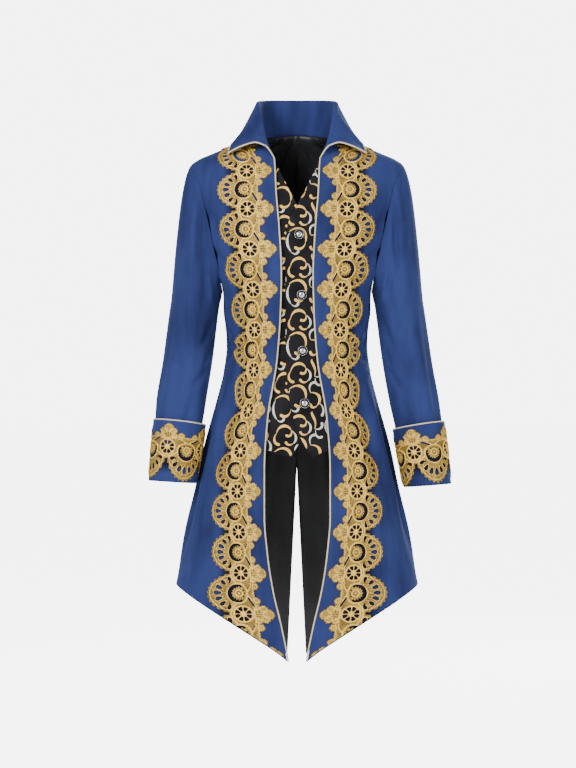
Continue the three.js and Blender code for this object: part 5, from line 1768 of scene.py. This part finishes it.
for number, (x, z) in enumerate(BUTTON_PLACES, 1):
    waistcoat_button(number, x, z)

# %% [markdown]
# ## Attaching what was made
# Each finished piece rides on the model's one body and stands for its CAD piece, which is hidden.

# %% Attaching the pieces
for node_name, piece in PIECES.items():
    obj = piece["obj"]
    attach(obj, "root")
    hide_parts(node_name)
for title, pattern in scroll_pieces.items():
    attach(pattern, "root")
HANGS_FROM = {"front": "collar_cloth", "back": "collar_cloth", "lining": "collar_cloth", "sleeve": "front",
              "cuff": "sleeve", "collar": "back", "waistcoat": "front", "front_lace": "front", "cuff_lace": "cuff"}
for node_name, piece in PIECES.items():
    if piece["flat"] is None:
        continue
    kind, _, which = node_name.rpartition("_")
    kind, which = (kind, which) if kind else (which, "left")
    below = HANGS_FROM[kind]
    below = below if below.endswith("cloth") else f"{below}_{which}_cloth"
print(len(PIECES), "pieces stand for the CAD's", len(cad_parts))

# %% [markdown]
# ## Floor, light and camera
# A pale floor and pale even light on all sides keep the velvet's own colour. One large soft light in front and to
# the left gives the folds their shape, a weaker one fills in from the right, and a third behind lights the back.
# The camera stands level with the middle of the coat, 4.5 m in front of it, with a long lens.

# %% The stage
FLOOR_Z = -1.32
PALE = (0.9, 0.9, 0.9, 1)
BACKDROP_STRENGTH = 6.0
AMBIENT_STRENGTH = 0.50


def camera_ray_strength(tree, seen, given, target):
    """A strength of one value where the camera sees it and another for the light that it gives."""
    ray = tree.nodes.new("ShaderNodeLightPath")
    amount = add(tree, "ShaderNodeMapRange", {"To Min": given, "To Max": seen})
    tree.links.new(ray.outputs["Is Camera Ray"], amount.inputs["Value"])
    tree.links.new(amount.outputs["Result"], target)


bpy.ops.mesh.primitive_circle_add(vertices=96, radius=40, fill_type="NGON", location=(0, 0, 0))
floor = bpy.context.object
floor.name = "floor"
floor.data.transform(Matrix.Translation((0, 0, FLOOR_Z)))
pale = material("pale floor", Base_Color=PALE, Roughness=0.9, Emission_Color=(1, 1, 1, 1))
camera_ray_strength(pale.node_tree, BACKDROP_STRENGTH - AMBIENT_STRENGTH, 0.05,
                    pale.node_tree.nodes["Principled BSDF"].inputs["Emission Strength"])
floor.data.materials.append(pale)

world = bpy.data.worlds.new("studio")
bpy.context.scene.world = world
world.use_nodes = True
sky = world.node_tree.nodes["Background"]
sky.inputs["Color"].default_value = (1, 1, 1, 1)
camera_ray_strength(world.node_tree, BACKDROP_STRENGTH, AMBIENT_STRENGTH, sky.inputs["Strength"])


def soft_light(name, place, aim, size, power):
    light = bpy.data.lights.new(name, "AREA")
    light.shape = "RECTANGLE"
    light.size, light.size_y = size
    light.energy = power
    made = bpy.data.objects.new(name, light)
    made.location = place
    made.rotation_euler = (Vector(aim) - Vector(place)).to_track_quat("-Z", "Y").to_euler()
    bpy.context.scene.collection.objects.link(made)


KEY_WATTS, FILL_WATTS, BEHIND_WATTS = 96, 44, 80
soft_light("key", (-1.6, -2.6, 0.9), (0, 0, -0.45), (1.1, 1.4), KEY_WATTS)
soft_light("fill", (2.2, -2.2, 0.2), (0, 0, -0.5), (1.4, 1.8), FILL_WATTS)
soft_light("behind", (1.7, 2.7, 0.8), (0, 0, -0.45), (1.2, 1.6), BEHIND_WATTS)

# %% The camera
CAMERA_PLACE = (-0.01845, -4.5, -0.4838)
LENS_MM, SENSOR_MM = 102.9, 36
camera_data = bpy.data.cameras.new("camera")
camera_data.lens = LENS_MM
camera_data.sensor_width = SENSOR_MM
camera = bpy.data.objects.new("camera", camera_data)
camera.location = CAMERA_PLACE
camera.rotation_euler = (math.pi / 2, 0, 0)
bpy.context.scene.collection.objects.link(camera)
bpy.context.scene.camera = camera
